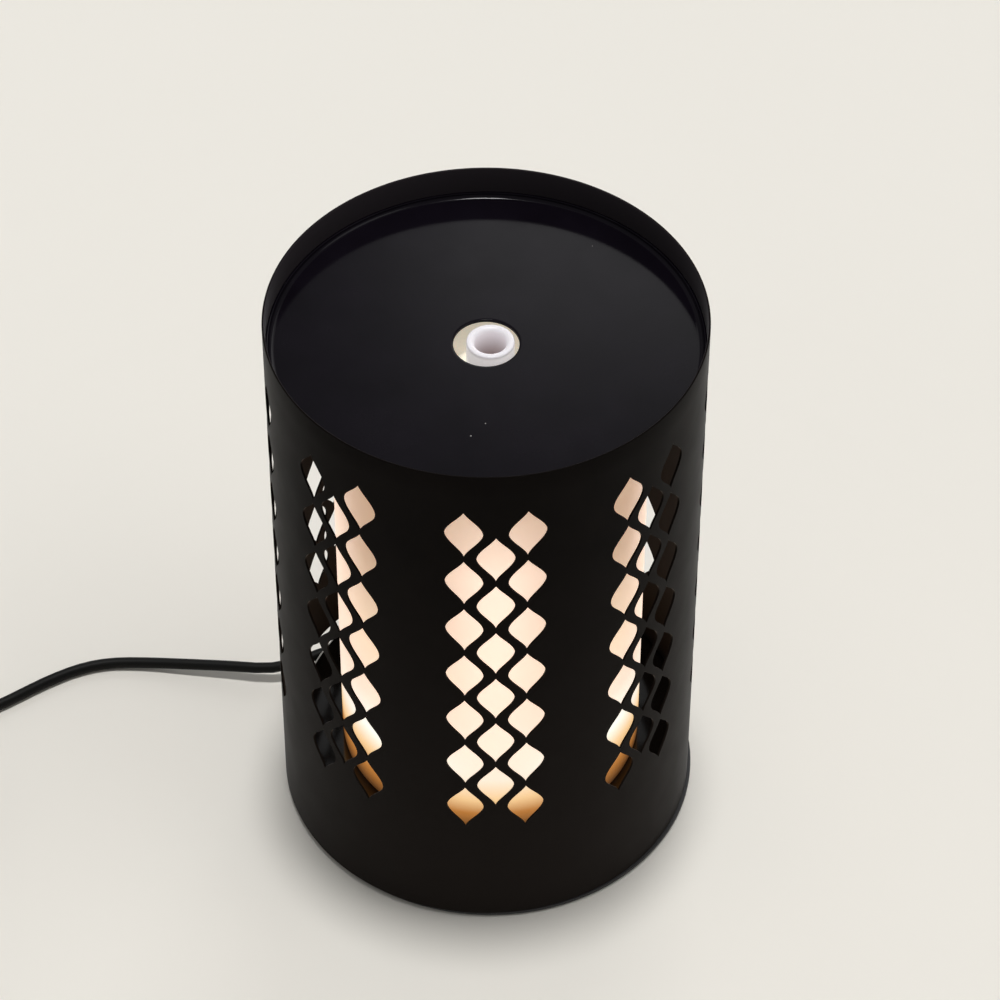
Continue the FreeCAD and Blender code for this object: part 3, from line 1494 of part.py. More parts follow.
def adapter_shell(name, low, high, inner_low, inner_high, closed):
    """One half of the adapter's case: a rounded box, hollow from the joint."""
    half = "adapter_width / 2"
    corners = [
        (f"adapter_x - {half}", "adapter_back"),
        (f"adapter_x + {half}", "adapter_back"),
        (f"adapter_x + {half}", "adapter_y"),
        (f"adapter_x - {half}", "adapter_y"),
    ]
    case = padded(name + "_case", corners, low, high)
    rounded(case, name + "_corners", "adapter_corner", upright)
    rounded(case, name + "_edge", "adapter_edge", flat_at(closed))
    hollow = block(
        name + "_hollow",
        (f"adapter_x - {half} + adapter_wall", f"adapter_x + {half} - adapter_wall"),
        ("adapter_back + adapter_wall", "adapter_y - adapter_wall"),
        (inner_low, inner_high),
    )
    return case, hollow


def make_adapter():
    """The plug-in power supply at the far end of the cord."""
    lower_case, lower_hollow = adapter_shell(
        "adapter_lower", "0", "adapter_middle", "adapter_wall", "adapter_middle + cut_margin", "0")
    upper_case, upper_hollow = adapter_shell(
        "adapter_upper", "adapter_middle", "adapter_height", "adapter_middle - cut_margin",
        "adapter_height - adapter_wall", "adapter_height")
    cord_way = rod("adapter_cord_way", "relief_radius + relief_fit", "adapter_y - adapter_wall - cut_margin",
                   "adapter_y + cut_margin", "adapter_x", "adapter_cord_level")
    prongs = group("adapter_prongs", *[
        block(f"prong_{side}", across(f"adapter_x + {side} * prong_spacing / 2", "prong_wall"),
              ("adapter_back - prong_length", "adapter_back + adapter_wall + prong_root"),
              across("adapter_middle - prong_width / 2 - prong_drop", "prong_width"))
        for side in (-1, 1)
    ])
    lower = cut("adapter_lower_shell", lower_case, lower_hollow, cord_way,
                group("prong_slots", prongs))
    upper = cut("adapter_upper_shell", upper_case, upper_hollow)
    board_width = "adapter_width - 2 * (adapter_wall + circuit_gap)"
    board = block("adapter_board_plate", across("adapter_x", board_width),
                  ("adapter_back + adapter_wall + circuit_inset", "adapter_y - adapter_wall - circuit_inset"),
                  ("adapter_wall", "circuit_top"))
    transformer = block("adapter_transformer", across("adapter_x", "transformer_width"),
                        across("adapter_back + adapter_length / 2", "transformer_length"),
                        ("circuit_top", "circuit_top + transformer_height"))
    circuit = fuse("adapter_circuit", board, transformer)
    relief = rod("relief_cone", "relief_radius + relief_flare", "adapter_y", "adapter_relief_end",
                 "adapter_x", "adapter_cord_level", "relief_radius")
    root = rod("relief_root", "relief_radius", "adapter_y - adapter_wall", "adapter_y",
               "adapter_x", "adapter_cord_level")
    return [lower, upper, circuit, prongs, fuse("adapter_relief", relief, root)]


def make_plug():
    """The round plug in the inlet and the strain relief that the cord comes out of."""
    barrel = rod("plug_barrel", "barrel_radius", "plug_face - barrel_length", "plug_face", z="jack_level")
    grip = rod("plug_grip", "plug_radius", "plug_face", "plug_back", z="jack_level")
    bore = rod("plug_bore", "barrel_bore", "plug_face - barrel_length - cut_margin",
               "plug_face + barrel_bore_end", z="jack_level")
    plug = cut("dc_plug", fuse("plug_solid", barrel, grip), bore)
    relief = rod("plug_relief", "plug_radius - relief_wall", "plug_back", "cord_exit", z="jack_level",
                 end_radius="relief_radius")
    return [plug, relief]


pieces = (
    make_cover() + make_dome() + make_bottom() + make_housing() + make_tank() + make_transducer()
    + make_leds() + make_fan() + make_air_guide() + make_board() + make_components() + make_jack()
    + make_leads() + make_buttons() + make_plug() + make_cord() + make_tie() + make_adapter()
)
doc.recompute()

for item in doc.Objects:
    if any(state in ("Invalid", "Error") for state in item.State):
        raise RuntimeError(f"{item.Name} failed: {item.State}")
for item in pieces:
    if item.Shape.isNull() or not item.Shape.isValid():
        raise RuntimeError(f"{item.Name} has no sound shape")

os.makedirs("parts", exist_ok=True)
for item in pieces:
    item.Label = item.Name
    solids = item.Shape.Solids
    shape = solids[0] if len(solids) == 1 else Part.makeCompound(solids)
    shape.exportStep(f"parts/{item.Label}.step")
print(f"{len(pieces)} nodes written")
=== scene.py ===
"""Dresses the fragrance lamp: perforated cover, glowing dome, nozzle, base, cord and adapter.

Lengths are in metres and angles in degrees unless a line says otherwise, and a heading counts from
+X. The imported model's own frame is kept: the feet stand on z = 0, the column's axis is Z, the plain
front faces -Y and the cord leaves at +Y.
"""

from __future__ import annotations

import logging
import math
from dataclasses import dataclass
from enum import Enum

import bmesh
import bpy
from mathutils import Matrix, Vector

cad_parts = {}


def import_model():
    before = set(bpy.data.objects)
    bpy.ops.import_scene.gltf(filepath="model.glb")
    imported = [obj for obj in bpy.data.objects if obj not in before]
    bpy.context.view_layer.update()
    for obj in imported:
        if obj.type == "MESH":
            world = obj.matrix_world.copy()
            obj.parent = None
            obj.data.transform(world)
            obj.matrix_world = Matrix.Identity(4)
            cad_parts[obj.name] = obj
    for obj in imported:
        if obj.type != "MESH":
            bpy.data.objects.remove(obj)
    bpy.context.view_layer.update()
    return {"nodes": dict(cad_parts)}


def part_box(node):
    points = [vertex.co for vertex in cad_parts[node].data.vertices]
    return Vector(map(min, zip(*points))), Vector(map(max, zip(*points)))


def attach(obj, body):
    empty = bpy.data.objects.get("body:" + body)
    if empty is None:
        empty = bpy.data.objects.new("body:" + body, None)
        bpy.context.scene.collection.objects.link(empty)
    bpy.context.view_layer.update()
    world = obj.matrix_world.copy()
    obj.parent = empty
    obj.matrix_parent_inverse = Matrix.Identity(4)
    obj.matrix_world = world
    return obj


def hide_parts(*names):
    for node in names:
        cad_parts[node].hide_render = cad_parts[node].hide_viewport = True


LOG = logging.getLogger("fragrance_lamp")
MM = 0.001
Point = tuple[float, float, float]
Colour = tuple[float, float, float]
Pair = tuple[float, float]
Profile = list[Pair]
Stops = tuple[tuple[float, Colour], ...]
Object = bpy.types.Object
Mesh = bpy.types.Mesh
Tree = bpy.types.NodeTree
Socket = bpy.types.NodeSocket
FLAT = (1.0, 1.0, 0.0)
BLACK = (0.0, 0.0, 0.0)


class Body(str, Enum):
    """The rigid bodies that pieces ride on."""

    BASE = "base"
    COVER = "cover"
    DOME = "dome"


class Nodes:
    """A thin helper that adds and joins the nodes of one tree."""

    def __init__(self, tree: Tree) -> None:
        """Keep the tree, emptied."""
        self.tree = tree
        tree.nodes.clear()

    def add(self, kind: str, inputs: dict | None = None, **settings: object) -> bpy.types.Node:
        """Add a node.

        Args:
            kind: Its type.
            inputs: Values or sockets for its inputs, by name or number.
            **settings: Its own properties.

        Returns:
            The node.
        """
        node = self.tree.nodes.new(kind)
        for name, value in settings.items():
            setattr(node, name, value)
        for key, value in (inputs or {}).items():
            if isinstance(value, Socket):
                self.tree.links.new(value, node.inputs[key])
            else:
                node.inputs[key].default_value = value
        return node

    def maths(self, operation: str, first: object, second: object = 0.0) -> Socket:
        """Add a Math node and return its result."""
        return self.add("ShaderNodeMath", {0: first, 1: second}, operation=operation).outputs[0]

    def vector(self, operation: str, first: object, second: object = FLAT) -> Socket:
        """Add a Vector Math node and return its result."""
        node = self.add("ShaderNodeVectorMath", {0: first, 1: second}, operation=operation)
        return node.outputs["Value" if operation in ("DOT_PRODUCT", "LENGTH") else "Vector"]

    def ranged(self, value: object, start: object, end: object, low: object = 0.0,
               high: object = 1.0) -> Socket:
        """Carry a value from between start and end to between low and high."""
        return self.add("ShaderNodeMapRange", {"Value": value, "From Min": start, "From Max": end,
                                               "To Min": low, "To Max": high}).outputs[0]

    def mix(self, share: object, first: object, second: object) -> Socket:
        """Mix two colours and return the result."""
        pair = [value if isinstance(value, Socket) else (*value, 1.0) for value in (first, second)]
        node = self.add("ShaderNodeMix", {0: share, 6: pair[0], 7: pair[1]}, data_type="RGBA")
        return node.outputs[2]

    def xyz(self, place: Socket) -> bpy.types.NodeOutputs:
        """Part a place into its three coordinates."""
        return self.add("ShaderNodeSeparateXYZ", {0: place}).outputs

    def offset(self, axis: str, value: object) -> Socket:
        """Make a vector along one axis."""
        return self.add("ShaderNodeCombineXYZ", {axis: value}).outputs[0]

    def ramp(self, value: object, stops: Stops) -> Socket:
        """Turn a value from 0 to 1 into a colour, by places on a ramp and their colours."""
        node = self.add("ShaderNodeValToRGB", {0: value})
        elements = node.color_ramp.elements
        while len(elements) < len(stops):
            elements.new(0.5)
        for element, (place, colour) in zip(elements, stops):
            element.position = place
            element.color = (*colour, 1.0)
        return node.outputs[0]


def linear(*display: float) -> Colour:
    """Turn a display colour from 0 to 255 into the linear colour that shaders take."""
    shares = [value / 255 for value in display]
    return tuple(share / 12.92 if share <= 0.04045 else ((share + 0.055) / 1.055) ** 2.4
                 for share in shares)


@dataclass(frozen=True)
class Finish:
    """A surface: its colour, its shine, and the fine relief that breaks both up.

    Args:
        name: The material's name.
        colour: Linear base colour.
        roughness: Mean roughness.
        metallic: 1 for bare metal.
        grain: Size of the relief's grain.
        relief: Its height.
        mottle: Share by which the colour varies.
        wear: How far the roughness varies.
        coat: Weight of a clear coat.
        glow: Strength of its own light.
        subsurface: How far light passes in.
        specular: Strength of the mirror-like light.
        sheen: Pale veil at grazing angles.
    """

    name: str
    colour: Colour
    roughness: float = 0.5
    metallic: float = 0.0
    grain: float = 0.0006
    relief: float = 0.00002
    mottle: float = 0.08
    wear: float = 0.06
    coat: float = 0.0
    glow: float = 0.0
    subsurface: float = 0.0
    specular: float = 0.5
    sheen: float = 0.0

    def base_colour(self, nodes: Nodes, place: Socket) -> Socket:
        """Vary the base colour a little over the surface."""
        noise = nodes.add("ShaderNodeTexNoise", {"Vector": place, "Scale": 1 / (self.grain * 40),
                                                 "Detail": 4.0})
        low = tuple(value * (1 - self.mottle) for value in self.colour)
        high = tuple(min(value * (1 + self.mottle), 1.0) for value in self.colour)
        return nodes.ramp(noise.outputs[0], ((0.3, low), (0.7, high)))

    def build(self) -> bpy.types.Material:
        """Make the material, or find it if it has been made."""
        found = bpy.data.materials.get(self.name)
        if found:
            return found
        material = bpy.data.materials.new(self.name)
        material.use_nodes = True
        nodes = Nodes(material.node_tree)
        place = nodes.add("ShaderNodeTexCoord").outputs["Object"]
        fine = nodes.add("ShaderNodeTexNoise", {"Vector": place, "Scale": 1 / self.grain,
                                                "Detail": 3.0})
        patches = nodes.add("ShaderNodeTexNoise", {"Vector": place, "Scale": 1 / (self.grain * 25)})
        low = max(self.roughness - self.wear, 0.02)
        high = min(self.roughness + self.wear, 1.0)
        bump = nodes.add("ShaderNodeBump", {"Height": fine.outputs[0], "Distance": self.relief,
                                            "Strength": 1.0})
        shader = nodes.add("ShaderNodeBsdfPrincipled", {
            "Base Color": self.base_colour(nodes, place),
            "Roughness": nodes.ramp(patches.outputs[0], ((0.3, (low,) * 3), (0.7, (high,) * 3))),
            "Normal": bump.outputs[0],
            "Metallic": self.metallic,
            "Specular IOR Level": self.specular,
            "Sheen Weight": self.sheen,
            "Sheen Roughness": 0.3,
            "Coat Weight": self.coat,
            "Coat Roughness": 0.08,
        })
        if self.subsurface:
            shader.inputs["Subsurface Weight"].default_value = self.subsurface
            shader.inputs["Subsurface Radius"].default_value = (0.004, 0.003, 0.002)
            shader.inputs["Subsurface Scale"].default_value = 1.0
        if self.glow:
            shader.inputs["Emission Color"].default_value = (*self.colour, 1.0)
            shader.inputs["Emission Strength"].default_value = self.glow
        self.extend(nodes, shader, place)
        nodes.add("ShaderNodeOutputMaterial", {"Surface": shader.outputs[0]})
        return material

    def extend(self, nodes: Nodes, shader: bpy.types.Node, place: Socket) -> None:
        """Let a kind of finish add its own nodes. A plain finish adds none."""


@dataclass(frozen=True)
class PowderCoat(Finish):
    """Sprayed and baked black powder, with stray pale specks of dust, and painted light: a paler
    inner wall above a level and a paler foot.

    Args:
        dust: Share of the dust cells that show.
        dust_cells: Cells in a metre.
        dust_size: Radius of a speck, as a share of its cell.
        dust_colour: Linear colour of a speck.
        recess: Level above which the inside of a tube is painted paler, as painted light.
        recess_painted_light: Linear colour of that painted light.
        bounce_light_level: Level below which the coat is painted paler, as painted floor bounce
            light.
        bounce_light_colour: Linear colour of that painted light at the bottom.
    """

    dust: float = 0.012
    dust_cells: float = 170.0
    dust_size: float = 0.035
    dust_colour: Colour = (0.35, 0.34, 0.32)
    recess: float = 1.0
    recess_painted_light: Colour = (0.036, 0.030, 0.034)
    bounce_light_level: float = 0.0
    bounce_light_colour: Colour = (0.0135, 0.0105, 0.0090)

    def base_colour(self, nodes: Nodes, place: Socket) -> Socket:
        """Paint light on the inner wall of a recess and towards the foot, and lay sparse specks of
        dust over it.
        """
        level = nodes.xyz(place)[2]
        normal = nodes.add("ShaderNodeTexCoord").outputs["Normal"]
        facing = nodes.vector("DOT_PRODUCT", nodes.vector("MULTIPLY", place), normal)
        # Painted light: the inside of the tube above the recess level is painted paler.
        inside = nodes.maths("MULTIPLY", nodes.maths("LESS_THAN", facing, -20 * MM),
                             nodes.maths("GREATER_THAN", level, self.recess))
        base = nodes.mix(inside, Finish.base_colour(self, nodes, place), self.recess_painted_light)
        # Painted floor bounce light: the coat is painted paler towards the bottom.
        if self.bounce_light_level:
            base = nodes.mix(nodes.ranged(level, self.bounce_light_level, 0.0), base, self.bounce_light_colour)
        cells = nodes.add("ShaderNodeTexVoronoi", {"Vector": place, "Scale": self.dust_cells})
        near = nodes.maths("LESS_THAN", cells.outputs["Distance"], self.dust_size)
        chance = nodes.add("ShaderNodeSeparateColor", {"Color": cells.outputs["Color"]}).outputs[0]
        speck = nodes.maths("MULTIPLY", near, nodes.maths("LESS_THAN", chance, self.dust))
        return nodes.mix(speck, base, self.dust_colour)


@dataclass(frozen=True)
class LitShell(Finish):
    """A translucent moulding lit from lamps at its foot, with painted light in bright lobes round it.

    Args:
        low: Level of its foot.
        high: Level of its top.
        bright_lobes: Bright lobes round it, painted light that stands in for the dome looking dimmer
            where it is seen aslant.
        bright_lobe_angle: Heading of one lobe.
        bright: Levels in millimetres and display colours in a lobe.
        dim: The same between two lobes.
    """

    low: float = 0.0
    high: float = 0.2
    bright_lobes: int = 4
    bright_lobe_angle: float = 225.0
    bright: Stops = ()
    dim: Stops = ()

    def extend(self, nodes: Nodes, shader: bpy.types.Node, place: Socket) -> None:
        """Shine in a colour that runs with the height and is painted brighter in lobes and dimmer
        between them.
        """
        axes = nodes.xyz(place)
        share = nodes.ranged(axes[2], self.low, self.high)
        # Painted light: the glow rises and falls round the dome in bright lobes.
        heading = nodes.maths("ARCTAN2", axes[1], axes[0])
        offset = nodes.maths("SUBTRACT", heading, math.radians(self.bright_lobe_angle))
        wave = nodes.maths("COSINE", nodes.maths("MULTIPLY", offset, float(self.bright_lobes)))
        span = self.high - self.low
        dim, bright = (
            nodes.ramp(share, tuple(((level * MM - self.low) / span, linear(*colour))
                                    for level, colour in stops))
            for stops in (self.dim, self.bright))
        light = nodes.mix(nodes.ranged(wave, -1.0, 1.0), dim, bright)
        shader.inputs["Emission Strength"].default_value = 1.0
        nodes.tree.links.new(light, shader.inputs["Emission Color"])


@dataclass(frozen=True)
class NozzlePlastic(Finish):
    """Pale plastic with painted light and shade: a glow strongest below its tip, and a bore painted
    darker the deeper it goes.

    Args:
        bore: Radius within which it is bore.
        mouth: Level of the bore's mouth.
        depth: Depth at which the bore's painted shade is darkest.
        bore_shade_colour: Linear colour of the painted shade there.
        tip_share: Share of the painted glow that is left at the tip.
        tip_height: Height of the tip.
    """

    bore: float = 4.9 * MM
    mouth: float = 173.7 * MM
    depth: float = 9.0 * MM
    bore_shade_colour: Colour = (0.20, 0.15, 0.15)
    tip_share: float = 0.3
    tip_height: float = 1.2 * MM

    def base_colour(self, nodes: Nodes, place: Socket) -> Socket:
        """Paint shade down the bore, darker the deeper it goes."""
        radius = nodes.vector("LENGTH", nodes.vector("MULTIPLY", place))
        down = nodes.ranged(nodes.xyz(place)[2], self.mouth, self.mouth - self.depth)
        # Painted shade: the bore darkens with depth.
        bore_shade_mask = nodes.maths("MULTIPLY", nodes.maths("LESS_THAN", radius, self.bore), down)
        return nodes.mix(bore_shade_mask, Finish.base_colour(self, nodes, place), self.bore_shade_colour)

    def extend(self, nodes: Nodes, shader: bpy.types.Node, place: Socket) -> None:
        """Paint light on the outside as glow, fading towards the tip."""
        # Painted light: the glow is strongest below the tip, where the disc shades the nozzle's side.
        share = nodes.ranged(nodes.xyz(place)[2], self.mouth, self.mouth - self.tip_height,
                             self.tip_share)
        base = shader.inputs["Base Color"].links[0].from_socket
        nodes.tree.links.new(nodes.mix(share, BLACK, base), shader.inputs["Emission Color"])


@dataclass(frozen=True)
class CircuitBoard(Finish):
    """Solder mask over copper tracks, with tinned pads."""

    def base_colour(self, nodes: Nodes, place: Socket) -> Socket:
        """Draw faint tracks and bright pads."""
        tracks = nodes.add("ShaderNodeTexBrick", {
            "Vector": place, "Scale": 260.0, "Color1": (0.03, 0.16, 0.07, 1.0),
            "Color2": (0.02, 0.12, 0.05, 1.0), "Mortar": (0.06, 0.26, 0.12, 1.0),
            "Mortar Size": 0.08, "Mortar Smooth": 0.2})
        pads = nodes.add("ShaderNodeTexVoronoi", {"Vector": place, "Scale": 330.0})
        pad = nodes.maths("LESS_THAN", pads.outputs["Distance"], 0.16)
        return nodes.mix(pad, tracks.outputs[0], (0.62, 0.58, 0.48))


@dataclass(frozen=True)
class Brushed(Finish):
    """Metal with fine turning or drawing marks.

    Args:
        stretch: How the marks run: the scale of the pattern along each axis.
    """

    stretch: Point = (1.0, 1.0, 30.0)

    def extend(self, nodes: Nodes, shader: bpy.types.Node, place: Socket) -> None:
        """Replace the even grain with drawn marks."""
        mapped = nodes.add("ShaderNodeMapping", {"Vector": place, "Scale": self.stretch})
        marks = nodes.add("ShaderNodeTexNoise", {"Vector": mapped.outputs[0], "Scale": 900.0})
        bump = nodes.add("ShaderNodeBump", {"Height": marks.outputs[0], "Distance": 0.00001})
        nodes.tree.links.new(bump.outputs[0], shader.inputs["Normal"])


# The cover's coat carries painted light: a paler inner wall in the top recess, and a paler foot for
# floor bounce light.
POWDER = PowderCoat("black_powder_coat", (0.0044, 0.0032, 0.0027), 0.5, grain=0.0004,
                    relief=0.000012, mottle=0.2, wear=0.03, specular=0.02, sheen=0.10,
                    dust=0.004, recess=0.172, bounce_light_level=0.150)
# Painted reflection: this copy of the coat, for the top disc, is tinted blue for the sky that it
# reflects, and the cover's coat above is tinted warm for the floor that it reflects.
POWDER_TOP_SKY_TINTED = PowderCoat("black_powder_coat_top_sky_tinted", (0.0044, 0.0033, 0.0056), 0.12, grain=0.0004,
                        relief=0.000003, mottle=0.2, wear=0.01, specular=0.12, dust=0.03)
BROWN = (75, 45, 20)
AMBER = (185, 120, 55)
GOLD = (245, 205, 150)
CREAM = (255, 235, 215)
LAMP_WHITE = (260, 260, 250)
PEACH = (250, 220, 200)
SAND = (235, 205, 175)
TAN = (200, 170, 150)
CLAY = (170, 135, 110)
# Painted light: the dome's top glows this colour in place of the room light that falls on it through
# the hole.
PALE_TOP_ROOM_LIGHT = (180, 175, 160)
GLOW = LitShell(
    "lit_dome", (0.80, 0.74, 0.62), 0.42, grain=0.0012, subsurface=0.2, low=0.0197, high=0.163,
    bright=((20, BROWN), (27, AMBER), (33, GOLD), (42, CREAM), (70, PEACH), (125, PEACH),
            (150, TAN), (163, PALE_TOP_ROOM_LIGHT)),
    dim=((20, BROWN), (27, AMBER), (36, GOLD), (45, LAMP_WHITE), (60, PEACH), (82, SAND),
         (120, CLAY), (158, CLAY), (163, PALE_TOP_ROOM_LIGHT)))
# Painted light: the nozzle glows, though it is no lamp.
NOZZLE_WHITE = NozzlePlastic("nozzle_white", (0.80, 0.77, 0.80), 0.35, grain=0.0015,
                             relief=0.000006, mottle=0.02, subsurface=0.05, glow=0.40)
CORD_SHEATH = Finish("cord_sheath", (0.006, 0.006, 0.0055), 0.5, grain=0.0005, relief=0.000015,
                     specular=0.12)

# Each finish with the CAD nodes that wear it.
WORN: tuple[tuple[Finish, str], ...] = (
    (POWDER, "cover_tube"),
    (POWDER_TOP_SKY_TINTED, "cover_top_disc"),
    (GLOW, "light_dome"),
    (NOZZLE_WHITE, "mist_nozzle"),
    (CORD_SHEATH, "dc_plug plug_relief cord_tie adapter_relief"),
    (CircuitBoard("circuit_board", (0.03, 0.16, 0.07), 0.4, coat=0.2),
     "led_board main_board adapter_circuit"),
    (Finish("base_gloss_black", (0.004, 0.004, 0.0045), 0.12, grain=0.0008, relief=0.000002,
            coat=0.4, wear=0.04), "base_housing"),
    (Finish("plate_textured_black", (0.022, 0.022, 0.023), 0.62, grain=0.0005, relief=0.00004),
     "bottom_plate air_guide"),
    # Painted light: the milky tank glows in place of the LED light that passes through it.
    (Finish("tank_milky_painted_glow", (0.72, 0.71, 0.66), 0.35, grain=0.0015, relief=0.000006, mottle=0.03,
            subsurface=0.3, glow=0.25), "water_tank"),
    (Finish("silicone_white", (0.70, 0.70, 0.67), 0.55, grain=0.0008, subsurface=0.2),
     "transducer_seal"),
    (Finish("foot_rubber", (0.025, 0.025, 0.025), 0.85, grain=0.0005, relief=0.00005),
     "rubber_feet"),
    (Brushed("screw_steel", (0.50, 0.50, 0.51), 0.32, metallic=1.0, grain=0.0004),
     "bottom_screws tank_screws retainer_screws led_board_screws board_screws fan_screws "
     "fan_shaft"),
    (Brushed("piezo_steel", (0.56, 0.55, 0.53), 0.28, metallic=1.0, grain=0.0005,
             stretch=(20.0, 1.0, 1.0)), "transducer_disc transducer_retainer"),
    (Brushed("bearing_bronze", (0.52, 0.36, 0.18), 0.38, metallic=1.0, grain=0.0004),
     "fan_bearing"),
    (Brushed("coil_copper", (0.60, 0.27, 0.12), 0.30, metallic=1.0, grain=0.0003,
             stretch=(1.0, 1.0, 40.0)), "fan_stator driver_coil"),
    (Brushed("prong_nickel", (0.62, 0.58, 0.48), 0.25, metallic=1.0, grain=0.0004,
             stretch=(1.0, 30.0, 1.0)), "adapter_prongs"),
    (Finish("magnet_dark", (0.05, 0.05, 0.052), 0.7, grain=0.0003, relief=0.00004), "fan_magnet"),
    (Finish("chip_black", (0.02, 0.02, 0.02), 0.55, grain=0.0003),
     "board_chips dc_jack switch_bodies"),
    (Finish("capacitor_sleeve", (0.02, 0.03, 0.09), 0.3, coat=0.3), "board_capacitors"),
    (Finish("connector_ivory", (0.72, 0.69, 0.58), 0.45),
     "board_connectors mist_switch_plunger light_switch_plunger"),
    (Finish("led_resin", (1.0, 0.72, 0.36), 0.3, grain=0.0008, glow=6.0), "leds"),
    (Finish("fan_black", (0.018, 0.018, 0.019), 0.48, grain=0.0005), "fan_frame fan_rotor"),
    (Finish("lead_red", (0.42, 0.025, 0.02), 0.42, grain=0.0005),
     "fan_lead transducer_lead led_lead"),
    (Finish("key_black", (0.016, 0.016, 0.017), 0.34, grain=0.0005, relief=0.00001),
     "mist_button light_button"),
    (Finish("adapter_black", (0.018, 0.018, 0.018), 0.55, grain=0.0005, relief=0.00006),
     "adapter_lower_shell adapter_upper_shell"),
)


def in_scene(name: str, data: bpy.types.ID) -> Object:
    """Put a new object that holds this data into the scene."""
    item = bpy.data.objects.new(name, data)
    bpy.context.scene.collection.objects.link(item)
    return item


def new_piece(name: str, mesh: Mesh, finish: Finish, smooth: float = 30.0) -> Object:
    """Put a mesh into the scene with its finish.

    Args:
        name: The piece's name.
        mesh: Its mesh.
        finish: Its surface.
        smooth: The least turn of an edge that stays sharp.

    Returns:
        The piece.
    """
    piece = in_scene(name, mesh)
    mesh.materials.clear()
    mesh.materials.append(finish.build())
    mesh.shade_smooth()
    mesh.set_sharp_from_angle(angle=math.radians(smooth))
    return piece


def arc(centre: Pair, radius: float, start: float, end: float, steps: int) -> Profile:
    """Points on an arc.

    Args:
        centre: Its centre.
        radius: Its radius.
        start: Its first angle from the outward direction.
        end: Its last angle.
        steps: Steps between them.

    Returns:
        The points.
    """
    points = []
    for step in range(steps + 1):
        angle = math.radians(start + (end - start) * step / steps)
        points.append((centre[0] + radius * math.cos(angle), centre[1] + radius * math.sin(angle)))
    return points


def as_mesh(name: str, shape: bmesh.types.BMesh) -> Mesh:
    """Turn an edited shape into a mesh and free the shape."""
    mesh = bpy.data.meshes.new(name)
    shape.to_mesh(mesh)
    shape.free()
    return mesh


def lathe(name: str, profile: Profile, segments: int, axis: Pair = (0.0, 0.0)) -> Mesh:
    """Turn a closed outline of (radius, level) points about an upright axis.

    Args:
        name: The mesh's name.
        profile: The outline.
        segments: Steps round the axis.
        axis: Where the axis stands.

    Returns:
        A closed mesh.
    """
    shape = bmesh.new()
    turns = [math.tau * step / segments for step in range(segments)]
    rings = [[shape.verts.new((axis[0] + radius * math.cos(angle),
                               axis[1] + radius * math.sin(angle), level))
              for angle in (turns if radius else turns[:1])]
             for radius, level in profile]
    for first, second in zip(rings, rings[1:] + rings[:1]):
        if len(first) == 1 and len(second) == 1:
            continue
        for step in range(segments):
            following = (step + 1) % segments
            corners = [first[step % len(first)], first[following % len(first)],
                       second[following % len(second)], second[step % len(second)]]
            shape.faces.new(list(dict.fromkeys(corners)))
    bmesh.ops.recalc_face_normals(shape, faces=shape.faces)
    return as_mesh(name, shape)


def footprint(node: str) -> Point:
    """Find the x and y of a round CAD node's axis, and its radius."""
    low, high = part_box(node)
    return (low.x + high.x) / 2, (low.y + high.y) / 2, (high.x - low.x) / 2


class ShapeNodes(Nodes):
    """The nodes of a modifier that works on the mesh that it is given and lays a finish on it."""

    def __init__(self, name: str, inputs: dict[str, str]) -> None:
        """Make the tree and its sockets.

        Args:
            name: The tree's name.
            inputs: The kind of each value that it takes beside the mesh and the finish.
        """
        super().__init__(bpy.data.node_groups.new(name, "GeometryNodeTree"))
        face = self.tree.interface
        for label, kind in {"Given": "Geometry", **inputs, "Finish": "Material"}.items():
            face.new_socket(label, in_out="INPUT", socket_type="NodeSocket" + kind)
        face.new_socket("Made", in_out="OUTPUT", socket_type="NodeSocketGeometry")
        self.given = self.add("NodeGroupInput").outputs

    def shape_of(self, item: Object) -> Socket:
        """Bring in another object's shape."""
        return self.add("GeometryNodeObjectInfo", {"Object": item}).outputs["Geometry"]

    def solid(self, copies: Socket) -> Socket:
        """Turn copies into real meshes."""
        return self.add("GeometryNodeRealizeInstances", {"Geometry": copies}).outputs[0]

    def feed(self, target: Socket, *sources: Socket) -> None:
        """Join many sources to one input."""
        for source in sources:
            self.tree.links.new(source, target)

    def row(self, item: Socket, count: Socket, start: object = (0, 0, 0), step: object = (0, 0, 0),
            **inputs: Socket) -> Socket:
        """Set copies of a shape in a row.

        Args:
            item: The shape.
            count: How many copies.
            start: Where the first stands.
            step: The way from one to the next.
            **inputs: The Rotation or Scale of each.

        Returns:
            The copies.
        """
        line = self.add("GeometryNodeMeshLine", {
            "Count": count, "Start Location": start, "Offset": step})
        return self.add("GeometryNodeInstanceOnPoints", {
            "Points": line.outputs[0], "Instance": item, **inputs}).outputs[0]

    def boolean(self, operation: str) -> bpy.types.Node:
        """Add a boolean for clean closed meshes."""
        return self.add("GeometryNodeMeshBoolean", operation=operation, solver="MANIFOLD")

    def close(self, shape: Socket) -> None:
        """Make the shape real, lay the finish on it and hand it out."""
        dressed = self.add("GeometryNodeSetMaterial", {
            "Geometry": self.solid(shape), "Material": self.given["Finish"]})
        self.add("NodeGroupOutput", {0: dressed.outputs[0]})

    def apply(self, item: Object, name: str, finish: Finish, values: dict[str, object]) -> Mesh:
        """Work on an object and delete it and the tree.

        Args:
            item: The object.
            name: The new mesh's name.
            finish: Its finish.
            values: The tree's other values, by name.

        Returns:
            The new mesh.
        """
        modifier = item.modifiers.new(self.tree.name, "NODES")
        modifier.node_group = self.tree
        keys = {entry.name: entry.identifier for entry in self.tree.interface.items_tree
                if entry.in_out == "INPUT"}
        for label, value in {**values, "Finish": finish.build()}.items():
            modifier[keys[label]] = value
        bpy.context.view_layer.update()
        evaluated = item.evaluated_get(bpy.context.evaluated_depsgraph_get())
        mesh = bpy.data.meshes.new_from_object(evaluated)
        mesh.name = name
        bpy.data.objects.remove(item)
        bpy.data.node_groups.remove(self.tree)
        return mesh


